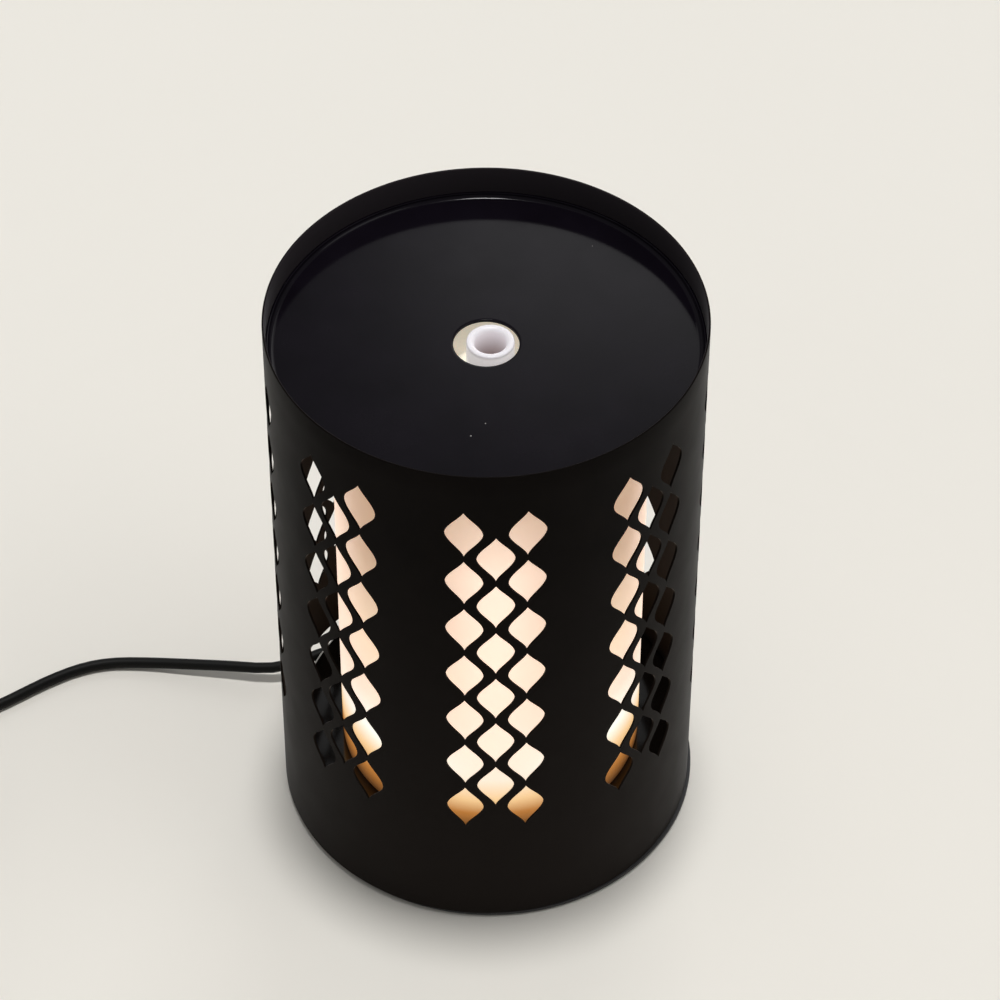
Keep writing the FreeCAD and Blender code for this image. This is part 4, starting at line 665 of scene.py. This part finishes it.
@dataclass
class PerforatedCover:
    """The powder-coated sheet tube with its windows of pointed drops.

    Args:
        wall: Thickness of the sheet.
        windows: Windows round the tube.
        window_pitch: Angle between windows.
        front: Heading of the window that faces the photograph.
        before_front: Windows before it.
        column_angle: Angle between a window's columns.
        pitch: Distance between rows.
        first_row: Depth of the first row below the rim.
        outer_rows: Drops in an outer column.
        middle_rows: Drops in the middle column.
        drop_rise: Height of a drop above its centre.
        drop_fall: Its depth below its centre.
        drop_half_width: Half its width.
        drop_waist: Level of its widest place.
        waist_handle: Reach of its curve's handles there.
        tip_handle: Their reach at the tips.
        top_angle: Half the angle of the upper tip.
        low_angle: Half the angle of the lower tip.
        notch_half_width: Half the width of the notch at the foot.
        notch_height: Height of the notch.
        notch_corner: Radius of its corners.
        seam_angle: Heading of the welded seam.
        seam_width: Width of its groove.
        seam_depth: Depth of its groove.
        segments: Steps round the tube.
        bands: Steps up the tube.
        beyond: Reach of the notch's cutter past the tube.
    """

    wall: float = 0.6 * MM
    windows: int = 8
    window_pitch: float = 44.6
    front: float = -135.0
    before_front: int = 3
    column_angle: float = 8.145
    pitch: float = 18.51 * MM
    first_row: float = 21.97 * MM
    outer_rows: int = 7
    middle_rows: int = 6
    drop_rise: float = 8.5 * MM
    drop_fall: float = 8.4 * MM
    drop_half_width: float = 5.12 * MM
    drop_waist: float = 0.35 * MM
    waist_handle: float = 3.0 * MM
    tip_handle: float = 2.8 * MM
    top_angle: float = 27.5
    low_angle: float = 16.0
    notch_half_width: float = 28.2 * MM
    notch_height: float = 19.0 * MM
    notch_corner: float = 6.0 * MM
    seam_angle: float = 61.0
    seam_width: float = 0.3 * MM
    seam_depth: float = 0.12 * MM
    segments: int = 288
    bands: int = 24
    beyond: float = 5.0 * MM

    def flank(self, steps: int = 12) -> Profile:
        """Draw one flank of a drop, from tip to foot, each of its two curves in some steps."""
        top, low = math.radians(self.top_angle), math.radians(self.low_angle)
        waist = Vector((self.drop_half_width, self.drop_waist))
        lift = Vector((0.0, self.waist_handle))
        tip, foot = Vector((0.0, self.drop_rise)), Vector((0.0, -self.drop_fall))
        upper = (tip, Vector((math.sin(top), -math.cos(top))) * self.tip_handle + tip,
                 waist + lift, waist)
        lower = (waist, waist - lift,
                 Vector((math.sin(low), math.cos(low))) * self.tip_handle + foot, foot)
        points = []
        for a, b, c, d in (upper, lower):
            for step in range(steps):
                t = step / steps
                u = 1 - t
                point = a * u ** 3 + b * (3 * u * u * t) + c * (3 * u * t * t) + d * t ** 3
                points.append((point.x, point.y))
        return points + [(0.0, -self.drop_fall)]

    def prism(self, name: str, outline: Profile, near: float, far: float,
              turn: float = 0.0) -> Object:
        """Make a straight bar along Y, as a cutter.

        Args:
            name: Its name.
            outline: Its (x, z) outline.
            near: Where it starts along Y.
            far: Where it ends.
            turn: Its turn about the column's axis.

        Returns:
            The cutter.
        """
        shape = bmesh.new()
        front = [shape.verts.new((x, near, z)) for x, z in outline]
        back = [shape.verts.new((x, far, z)) for x, z in outline]
        shape.faces.new(front)
        shape.faces.new(back)
        for step in range(len(outline)):
            following = (step + 1) % len(outline)
            shape.faces.new((front[step], front[following], back[following], back[step]))
        bmesh.ops.recalc_face_normals(shape, faces=shape.faces)
        mesh = as_mesh(name, shape)
        mesh.transform(Matrix.Rotation(math.radians(turn), 4, "Z"))
        return in_scene(name, mesh)

    def cutters(self, radius: float, top: float) -> list[Object]:
        """Make the cutters of a drop, the notch and the seam.

        Args:
            radius: The tube's radius.
            top: Level of its rim.

        Returns:
            The cutters.
        """
        right = self.flank()
        drop = right + [(-x, z) for x, z in reversed(right[1:-1])]
        x, z = self.notch_half_width - self.notch_corner, self.notch_height - self.notch_corner
        notch = [(self.notch_half_width, -self.beyond)]
        notch += arc((x, z), self.notch_corner, 0, 90, 8)
        notch += arc((-x, z), self.notch_corner, 90, 180, 8)
        notch.append((-self.notch_half_width, -self.beyond))
        half = self.seam_width / 2
        seam = [(-half, -MM), (half, -MM), (half, top + MM), (-half, top + MM)]
        return [self.prism("drop_cutter", drop, -radius - 2 * MM, -radius + 4 * MM),
                self.prism("notch_cutter", notch, radius - 18 * MM, radius + self.beyond),
                self.prism("seam_cutter", seam, -radius - MM, -radius + self.seam_depth,
                           self.seam_angle + 90)]

    def pattern(self, drop: Object, *others: Object) -> ShapeNodes:
        """Make the nodes that cut the windows out of a tube.

        Args:
            drop: The cutter that is repeated.
            *others: Cutters that are used once, where they stand.

        Returns:
            The nodes.
        """
        nodes = ShapeNodes("perforate_cover", {
            "Windows": "Int", "Window Start": "Float", "Window Pitch": "Float",
            "Column Angle": "Float", "Pitch": "Float", "First Level": "Float",
            "Outer Rows": "Int", "Middle Rows": "Int"})
        given = nodes.given
        shape = nodes.shape_of(drop)
        down = nodes.offset("Z", nodes.maths("MULTIPLY", given["Pitch"], -1.0))
        window = nodes.add("GeometryNodeJoinGeometry")
        for column in (-1, 0, 1):
            rows = given["Outer Rows" if column else "Middle Rows"]
            lower = nodes.maths("MULTIPLY", given["Pitch"], 0.0 if column else 0.5)
            start = nodes.offset("Z", nodes.maths("SUBTRACT", given["First Level"], lower))
            spin = nodes.offset("Z", nodes.maths("MULTIPLY", given["Column Angle"], float(column)))
            placed = nodes.add("GeometryNodeTransform", {
                "Geometry": nodes.row(shape, rows, start, down), "Rotation": spin})
            nodes.feed(window.inputs[0], placed.outputs[0])
        index = nodes.add("GeometryNodeInputIndex").outputs[0]
        swing = nodes.maths("ADD", nodes.maths("MULTIPLY", index, given["Window Pitch"]),
                            given["Window Start"])
        ring = nodes.row(window.outputs[0], given["Windows"], Rotation=nodes.offset("Z", swing))
        cut = nodes.boolean("DIFFERENCE")
        nodes.feed(cut.inputs["Mesh 1"], given["Given"])
        nodes.feed(cut.inputs["Mesh 2"], nodes.solid(ring), *map(nodes.shape_of, others))
        nodes.close(cut.outputs[0])
        return nodes

    def build(self) -> Object:
        """Make the tube and cut it."""
        low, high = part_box("cover_tube")
        centre_x, centre_y, outer = footprint("cover_tube")
        rim = self.wall / 2
        inner = outer - self.wall
        levels = [low.z + (high.z - low.z) * band / self.bands for band in range(1, self.bands)]
        section = [(inner, low.z), (outer, low.z)] + [(outer, level) for level in levels]
        section += arc((outer - rim, high.z - rim), rim, 0, 90, 3)
        section += arc((inner + rim, high.z - rim), rim, 90, 180, 3)[1:]
        section += [(inner, level) for level in reversed(levels)]
        tube = in_scene("cover_blank", lathe("cover_blank", section, self.segments))
        cutters = self.cutters(outer, high.z)
        start = self.front + 90 - self.before_front * self.window_pitch
        mesh = self.pattern(*cutters).apply(tube, "perforated_cover", POWDER, {
            "Windows": self.windows, "Window Start": math.radians(start),
            "Window Pitch": math.radians(self.window_pitch),
            "Column Angle": math.radians(self.column_angle), "Pitch": self.pitch,
            "First Level": high.z - self.first_row, "Outer Rows": self.outer_rows,
            "Middle Rows": self.middle_rows})
        mesh.transform(Matrix.Translation((centre_x, centre_y, 0.0)))
        for cutter in cutters:
            bpy.data.objects.remove(cutter)
        piece = new_piece("perforated_cover", mesh, POWDER, smooth=25.0)
        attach(piece, Body.COVER.value)
        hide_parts("cover_tube")
        return piece


@dataclass
class TopDisc:
    """The recessed disc with its turned-up edge and its round hole.

    Args:
        wall: Thickness of the sheet.
        bend: Inner radius of the bend below the edge.
        hole: Radius of the hole round the nozzle.
        edge_round: Rounding of the hole's edge.
        margin: Width of the rings that keep the flat's shading even.
        segments: Steps round the disc.
    """

    wall: float = 0.8 * MM
    bend: float = 1.2 * MM
    hole: float = 8.92 * MM
    edge_round: float = 0.25 * MM
    margin: float = 0.4 * MM
    segments: int = 256

    def build(self) -> Object:
        """Turn the disc."""
        low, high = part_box("cover_top_disc")
        centre_x, centre_y, outer = footprint("cover_top_disc")
        inner = outer - self.wall
        face = low.z + self.wall
        lip = self.edge_round
        section = [(self.hole, low.z)]
        section += arc((outer - self.bend - self.wall, low.z + self.bend + self.wall),
                       self.bend + self.wall, -90, 0, 8)
        section += arc((outer - self.wall / 2, high.z - self.wall / 2), self.wall / 2, 0, 180, 6)
        section += arc((inner - self.bend, face + self.bend), self.bend, 0, -90, 8)
        section += [(inner - self.bend - self.margin, face), (self.hole + lip + self.margin, face)]
        section += arc((self.hole + lip, face - lip), lip, 90, 180, 4)
        mesh = lathe("top_disc", section, self.segments, (centre_x, centre_y))
        piece = new_piece("top_disc", mesh, POWDER_TOP_SKY_TINTED)
        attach(piece, Body.COVER.value)
        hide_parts("cover_top_disc")
        return piece


@dataclass
class GlowDome:
    """The translucent dome, lit from below, and the nozzle through its top.

    Args:
        wall: Thickness of the dome.
        shoulder: Outer radius of its rounded shoulder.
        mouth_gap: Gap between its top and the nozzle.
        mouth_ring: Width of the flat ring there.
        band: Height of its lowest faces.
        nozzle_bore: Radius of the nozzle's way.
        nozzle_radius: Outer radius of the nozzle.
        nozzle_wall: Thickness of its foot.
        flare: Outer radius of the flared foot.
        collar: Radius of the collar under the dome.
        collar_height: Height of the collar.
        collar_depth: Its depth below the tip.
        throat: Radius of the way below it.
        lip_outer: Rounding of the tip outside.
        lip_inner: Rounding of the tip inside.
        segments: Steps round the dome.
        nozzle_segments: Steps round the nozzle.
    """

    wall: float = 1.8 * MM
    shoulder: float = 12.0 * MM
    mouth_gap: float = 0.4 * MM
    mouth_ring: float = 6.0 * MM
    band: float = 60.0 * MM
    nozzle_bore: float = 4.37 * MM
    nozzle_radius: float = 6.53 * MM
    nozzle_wall: float = 1.5 * MM
    flare: float = 12.0 * MM
    collar: float = 9.0 * MM
    collar_height: float = 1.5 * MM
    collar_depth: float = 12.6 * MM
    throat: float = 5.7 * MM
    lip_outer: float = 0.5 * MM
    lip_inner: float = 1.2 * MM
    segments: int = 192
    nozzle_segments: int = 96

    def shell(self) -> Object:
        """The dome as one smooth closed shell, its top open for the nozzle."""
        low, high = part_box("light_dome")
        outer, inner = high.x, high.x - self.wall
        inside = self.shoulder - self.wall
        mouth = self.nozzle_radius + self.mouth_gap
        section = [(inner, low.z), (outer, low.z), (outer, low.z + self.band)]
        section += arc((outer - self.shoulder, high.z - self.shoulder), self.shoulder, 0, 90, 14)
        section += [(mouth + self.mouth_ring, high.z), (mouth, high.z), (mouth, high.z - self.wall)]
        section += arc((inner - inside, high.z - self.wall - inside), inside, 90, 0, 14)
        piece = new_piece("glow_dome", lathe("glow_dome", section, self.segments), GLOW)
        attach(piece, Body.DOME.value)
        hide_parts("light_dome")
        return piece

    def nozzle(self) -> Object:
        """The round-lipped nozzle with its collar and flared foot."""
        low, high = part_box("mist_nozzle")
        top = high.z
        collar_top = top - self.collar_depth
        collar_low = collar_top - self.collar_height
        section = arc((self.nozzle_bore + self.lip_inner, top - self.lip_inner), self.lip_inner,
                      180, 90, 5)
        section += arc((self.nozzle_radius - self.lip_outer, top - self.lip_outer), self.lip_outer,
                       90, 0, 7)[1:]
        section += [(self.nozzle_radius, collar_top), (self.collar, collar_top),
                    (self.collar, collar_low), (self.throat + self.nozzle_wall, collar_low),
                    (self.flare, low.z), (self.flare - self.nozzle_wall, low.z),
                    (self.throat, collar_low), (self.nozzle_bore, collar_top)]
        mesh = lathe("mist_outlet", section, self.nozzle_segments, footprint("mist_nozzle")[:2])
        piece = new_piece("mist_outlet", mesh, NOZZLE_WHITE)
        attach(piece, Body.DOME.value)
        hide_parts("mist_nozzle")
        return piece


@dataclass
class LampCord:
    """The whole low-voltage lead on one smooth line: free stretch, tied coil and tail.

    Args:
        length: Its length from the plug to the adapter; not used.
        diameter: Its thickness.
        exit: Where it leaves the plug's sleeve.
        route: Points of the free stretch. From here on all is in millimetres.
        lead_in: Straight run into the coil.
        lead_out: Straight run out of it.
        tail: Points from the coil to the adapter.
        coil_centre: Where the coil's axis stands.
        coil_radius: Radius of its outermost turn.
        coil_pitch: Distance between turns and between layers.
        turns_per_layer: Turns in a layer.
        layers: Layers of the coil.
        coil_rise: Level of the lowest layer.
        climb_turns: Turns over which the cord climbs a layer.
        entry_angle: Heading at which the cord enters the coil.
        per_turn: Control points in a turn.
        small_turn: A small part of a turn, to find a direction.
    """

    length: float = 1.475
    diameter: float = 3.3 * MM
    exit: Point = (0.0, 46.0 * MM, 8.75 * MM)
    route: tuple[Point, ...] = (
        (0.0, 52.5, 8.75), (-4.9, 60.9, 7.4), (-20.3, 68.1, 4.8), (-28.8, 80.7, 4.0),
        (-37.2, 92.3, 3.0), (-43.8, 101.7, 2.0), (-51.7, 110.8, 1.65), (-60.9, 116.3, 1.65),
        (-72.9, 119.9, 1.65), (-85.8, 122.5, 1.65), (-99.2, 127.6, 1.65))
    lead_in: float = 15.0
    lead_out: float = 8.0
    tail: tuple[Point, ...] = (
        (-153.5, 144.8, 11.2), (-165.0, 145.0, 8.2), (-176.0, 141.0, 7.0), (-182.6, 132.6, 8.4),
        (-184.0, 126.4, 10.0), (-184.0, 122.0, 10.0))
    coil_centre: Pair = (-139.3, 115.4)
    coil_radius: float = 24.35
    coil_pitch: float = 3.75
    turns_per_layer: float = 2.5
    layers: int = 4
    coil_rise: float = 2.55
    climb_turns: float = 0.5
    entry_angle: float = 71.4
    per_turn: int = 16
    small_turn: float = 0.004

    def coil_point(self, turns: float, ease: float = 1.0) -> Vector:
        """A point of the coil, in millimetres.

        Args:
            turns: How far along it lies.
            ease: How far outside the line that it steers a control point stands, as a share.

        Returns:
            The point.
        """
        layer = min(int(turns / self.turns_per_layer), self.layers - 1)
        inward = turns - layer * self.turns_per_layer
        if layer % 2:
            inward = self.turns_per_layer - inward
        radius = (self.coil_radius - self.coil_pitch * inward) * ease
        climb = 0.0
        for reversal in range(1, self.layers):
            gone = turns - reversal * self.turns_per_layer + self.climb_turns / 2
            share = min(max(gone / self.climb_turns, 0.0), 1.0)
            climb += share * share * (3 - 2 * share)
        angle = math.radians(self.entry_angle + 360 * turns)
        return Vector((self.coil_centre[0] + radius * math.cos(angle),
                       self.coil_centre[1] + radius * math.sin(angle),
                       self.coil_rise + self.coil_pitch * climb))

    def points(self) -> list[Vector]:
        """All control points, in millimetres."""
        total = self.layers * self.turns_per_layer
        ease = 1 / math.cos(math.pi / self.per_turn)
        first, last = self.coil_point(0.0), self.coil_point(total)
        entry = (self.coil_point(self.small_turn) - first).normalized()
        leave = (last - self.coil_point(total - self.small_turn)).normalized()
        start = first - entry * self.diameter / MM
        end = last + leave * self.diameter / MM
        points = [Vector(self.exit) / MM] + [Vector(point) for point in self.route]
        points += [start - entry * self.lead_in, start]
        steps = int(total * self.per_turn)
        points += [self.coil_point(total * step / steps, ease) for step in range(1, steps)]
        points += [end, end + leave * self.lead_out]
        return points + [Vector(point) for point in self.tail]

    def build(self) -> Object:
        """Make the cord as one open spline with a round section."""
        points = self.points()
        curve = bpy.data.curves.new("lamp_cord", "CURVE")
        curve.dimensions = "3D"
        curve.bevel_depth = self.diameter / 2
        curve.bevel_resolution = 5
        curve.use_fill_caps = True
        spline = curve.splines.new("NURBS")
        spline.points.add(len(points) - 1)
        for target, point in zip(spline.points, points):
            target.co = (*(point * MM), 1.0)
        spline.order_u = 3
        spline.use_endpoint_u = True
        spline.resolution_u = 3
        cord = in_scene("lamp_cord", curve)
        curve.materials.append(CORD_SHEATH.build())
        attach(cord, Body.BASE.value)
        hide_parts("power_cord", "cord_coil", "cord_tail")
        return cord


@dataclass
class StrainRelief:
    """A tapered sleeve of soft plastic, ribbed so that it bends evenly, where the cord leaves.

    Args:
        name: The piece's name.
        node: The CAD node that it replaces.
        root: Length of its plain root.
        core: Radius of its tip between the ribs.
        tip: Radius of the last rib.
        tip_round: Rounding of the tip.
        ribs: How many ribs it has.
        rib_width: Width of a rib.
        bare_end: Length without ribs, in widths of a rib.
        segments: Steps round it.
    """

    name: str
    node: str
    root: float = 0.0
    core: float = 2.05 * MM
    tip: float = 2.5 * MM
    tip_round: float = 0.3 * MM
    ribs: int = 5
    rib_width: float = 0.8 * MM
    bare_end: float = 2.2
    segments: int = 48

    def turned(self, name: str, section: Profile, place: Vector) -> Object:
        """Turn an outline about a line along Y.

        Args:
            name: The object's name.
            section: The (radius, distance) outline.
            place: A point of the line.

        Returns:
            The object.
        """
        mesh = lathe(name, section, self.segments)
        mesh.transform(Matrix.Translation(place) @ Matrix.Rotation(math.radians(-90), 4, "X"))
        return in_scene(name, mesh)

    def ribbing(self, rib: Object) -> ShapeNodes:
        """Make the nodes that set copies of the widest rib, of falling size, along a sleeve."""
        nodes = ShapeNodes("rib_sleeve", {
            "Ribs": "Int", "Start": "Vector", "Step": "Vector", "Last Share": "Float"})
        given = nodes.given
        last = nodes.maths("SUBTRACT", given["Ribs"], 1.0)
        index = nodes.add("GeometryNodeInputIndex").outputs[0]
        share = nodes.ranged(index, 0.0, last, 1.0, given["Last Share"])
        size = nodes.add("ShaderNodeCombineXYZ", {"X": share, "Y": 1.0, "Z": share}).outputs[0]
        ring = nodes.row(nodes.shape_of(rib), given["Ribs"], given["Start"], given["Step"],
                         Scale=size)
        union = nodes.boolean("UNION")
        nodes.feed(union.inputs["Mesh 2"], given["Given"], nodes.solid(ring))
        nodes.close(union.outputs[0])
        return nodes

    def build(self) -> Object:
        """Make the sleeve and rib it."""
        low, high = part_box(self.node)
        centre_x, _, widest = footprint(self.node)
        place = Vector((centre_x, 0.0, (low.z + high.z) / 2))
        start = low.y + self.root
        foot = widest - (self.tip - self.core)
        lip = self.tip_round
        section = [(0.0, low.y), (self.core, low.y), (self.core, start), (foot, start)]
        section += arc((self.core - lip, high.y - lip), lip, 0, 90, 4)
        section.append((0.0, high.y))
        sleeve = self.turned(self.name + "_sleeve", section, place)
        half = self.rib_width / 2
        outline = [(0.0, -half), (widest - half, -half)]
        outline += arc((widest - half, 0.0), half, -90, 90, 6)[1:]
        outline.append((0.0, half))
        rib = self.turned(self.name + "_rib", outline, Vector())
        step = (high.y - start - self.bare_end * self.rib_width) / (self.ribs - 1)
        mesh = self.ribbing(rib).apply(sleeve, self.name, CORD_SHEATH, {
            "Ribs": self.ribs, "Start": place + Vector((0.0, start + half, 0.0)),
            "Step": Vector((0.0, step, 0.0)), "Last Share": self.tip / widest})
        bpy.data.objects.remove(rib)
        piece = new_piece(self.name, mesh, CORD_SHEATH)
        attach(piece, Body.BASE.value)
        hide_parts(self.node)
        return piece


@dataclass
class Studio:
    """Pale floor, soft light and the camera of the photograph.

    Args:
        azimuth: Where the camera's right side points.
        elevation: How far the camera looks down.
        yaw: Its turn to the right.
        roll: Its turn about the line of sight.
        eye: Its place along its own right, forward and up.
        lens: Focal length on a sensor 36 mm wide.
        floor_size: Half the floor's width.
        floor_colour: Linear colour of the floor.
        sky: Strength of the even surround.
        wall: Strength of a pale wall behind the lamp.
        wall_azimuth: Its middle, from the camera's right side.
        wall_spread: Angle from its middle to its edges.
        wall_top: Elevation of its upper edge.
        wall_soften: Angle over which its edges fade.
    """

    azimuth: float = -47.4426
    elevation: float = 46.2583
    yaw: float = 0.1683
    roll: float = -0.0271
    eye: Point = (-0.000671, -0.788198, 0.935416)
    lens: float = 146.79
    floor_size: float = 3.0
    floor_colour: Colour = (0.83, 0.80, 0.735)
    sky: float = 0.28
    wall: float = 1.9
    wall_azimuth: float = 76.5
    wall_spread: float = 15.0
    wall_top: float = 44.0
    wall_soften: float = 1.0

    def camera(self) -> None:
        """Place the camera."""
        turn = Matrix.Rotation(math.radians(self.azimuth), 4, "Z")
        place = turn @ Vector(self.eye)
        for angle, axis in ((90 - self.elevation, "X"), (-self.yaw, "Y"), (self.roll, "Z")):
            turn = turn @ Matrix.Rotation(math.radians(angle), 4, axis)
        data = bpy.data.cameras.new("photo_camera")
        data.lens = self.lens
        data.sensor_width = 36.0
        data.clip_start = 0.05
        data.clip_end = 20.0
        camera = in_scene("photo_camera", data)
        camera.matrix_world = Matrix.Translation(place) @ turn
        bpy.context.scene.camera = camera

    def floor(self) -> None:
        """Lay a wide pale floor."""
        shape = bmesh.new()
        bmesh.ops.create_grid(shape, x_segments=8, y_segments=8, size=self.floor_size)
        finish = Finish("studio_floor", self.floor_colour, 0.65, grain=0.01, relief=0.0,
                        mottle=0.01)
        new_piece("studio_floor", as_mesh("studio_floor", shape), finish)

    def soft_sun(self, name: str, azimuth: float, elevation: float, spread: float,
                 strength: float) -> None:
        """Light the scene evenly from one side, with soft shadows.

        Args:
            name: Its name.
            azimuth: Its heading from the camera's right side.
            elevation: Its height above the floor.
            spread: How wide it looks.
            strength: Its light in watts per square metre.
        """
        data = bpy.data.lights.new(name, "SUN")
        data.angle = math.radians(spread)
        data.energy = strength
        around = math.radians(self.azimuth + azimuth)
        rise = math.radians(elevation)
        toward = Vector((math.cos(around) * math.cos(rise), math.sin(around) * math.cos(rise),
                         math.sin(rise)))
        light = in_scene(name, data)
        light.matrix_world = (-toward).to_track_quat("-Z", "Y").to_matrix().to_4x4()

    def world(self) -> None:
        """Surround the scene with an even pale light and a brighter wall behind the lamp."""
        world = bpy.data.worlds.new("studio_world")
        bpy.context.scene.world = world
        world.use_nodes = True
        nodes = Nodes(world.node_tree)
        toward = nodes.add("ShaderNodeTexCoord").outputs["Generated"]
        middle = math.radians(self.azimuth + self.wall_azimuth)
        level = nodes.vector("NORMALIZE", nodes.vector("MULTIPLY", toward))
        aside = nodes.vector("DOT_PRODUCT", level, (math.cos(middle), math.sin(middle), 0.0))
        soften, edge, top = (math.radians(angle)
                             for angle in (self.wall_soften, self.wall_spread, self.wall_top))
        across = nodes.ranged(nodes.maths("ARCCOSINE", aside), edge + soften, edge - soften)
        height = nodes.ranged(nodes.maths("ARCSINE", nodes.xyz(toward)[2]), top + soften,
                              top - soften)
        lit = nodes.maths("MULTIPLY", nodes.maths("MULTIPLY", across, height), self.wall)
        surround = nodes.add("ShaderNodeBackground", {
            "Color": (1.0, 1.0, 1.0, 1.0), "Strength": nodes.maths("ADD", lit, self.sky)})
        nodes.add("ShaderNodeOutputWorld", {"Surface": surround.outputs[0]})

    def build(self) -> None:
        """Make the floor, the lights, the surround and the camera."""
        self.floor()
        self.world()
        self.soft_sun("top_light", azimuth=83.0, elevation=87.0, spread=8.0, strength=1.70)
        self.soft_sun("side_light", azimuth=-13.0, elevation=50.0, spread=34.0, strength=0.42)
        self.camera()


def dress_nodes(frame: dict) -> None:
    """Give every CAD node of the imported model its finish."""
    finishes = {node: finish for finish, nodes in WORN for node in nodes.split()}
    for name, node in frame["nodes"].items():
        if name in finishes:
            for place in node.material_slots:
                place.material = finishes[name].build()


def main() -> None:
    """Build the lamp round its frame."""
    logging.basicConfig(level=logging.INFO, format="%(name)s %(message)s")
    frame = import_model()
    bpy.context.scene.view_settings.view_transform = "Standard"
    Studio().build()
    dress_nodes(frame)
    cover = PerforatedCover().build()
    LOG.info("cover: %s, %d faces", cover.name, len(cover.data.polygons))
    LOG.info("disc: %s", TopDisc().build().name)
    dome = GlowDome()
    for piece in (dome.shell(), dome.nozzle()):
        LOG.info("dome: %s", piece.name)
    plug_sleeve = StrainRelief("plug_sleeve", "plug_relief", ribs=4, rib_width=0.9 * MM)
    adapter_sleeve = StrainRelief("adapter_sleeve", "adapter_relief", root=2.0 * MM, ribs=7)
    for sleeve in (plug_sleeve, adapter_sleeve):
        LOG.info("strain relief: %s", sleeve.build().name)
    lead = LampCord()
    cord = lead.build()
    LOG.info("cord: %s", cord.name)


if __name__ == "__main__":
    main()
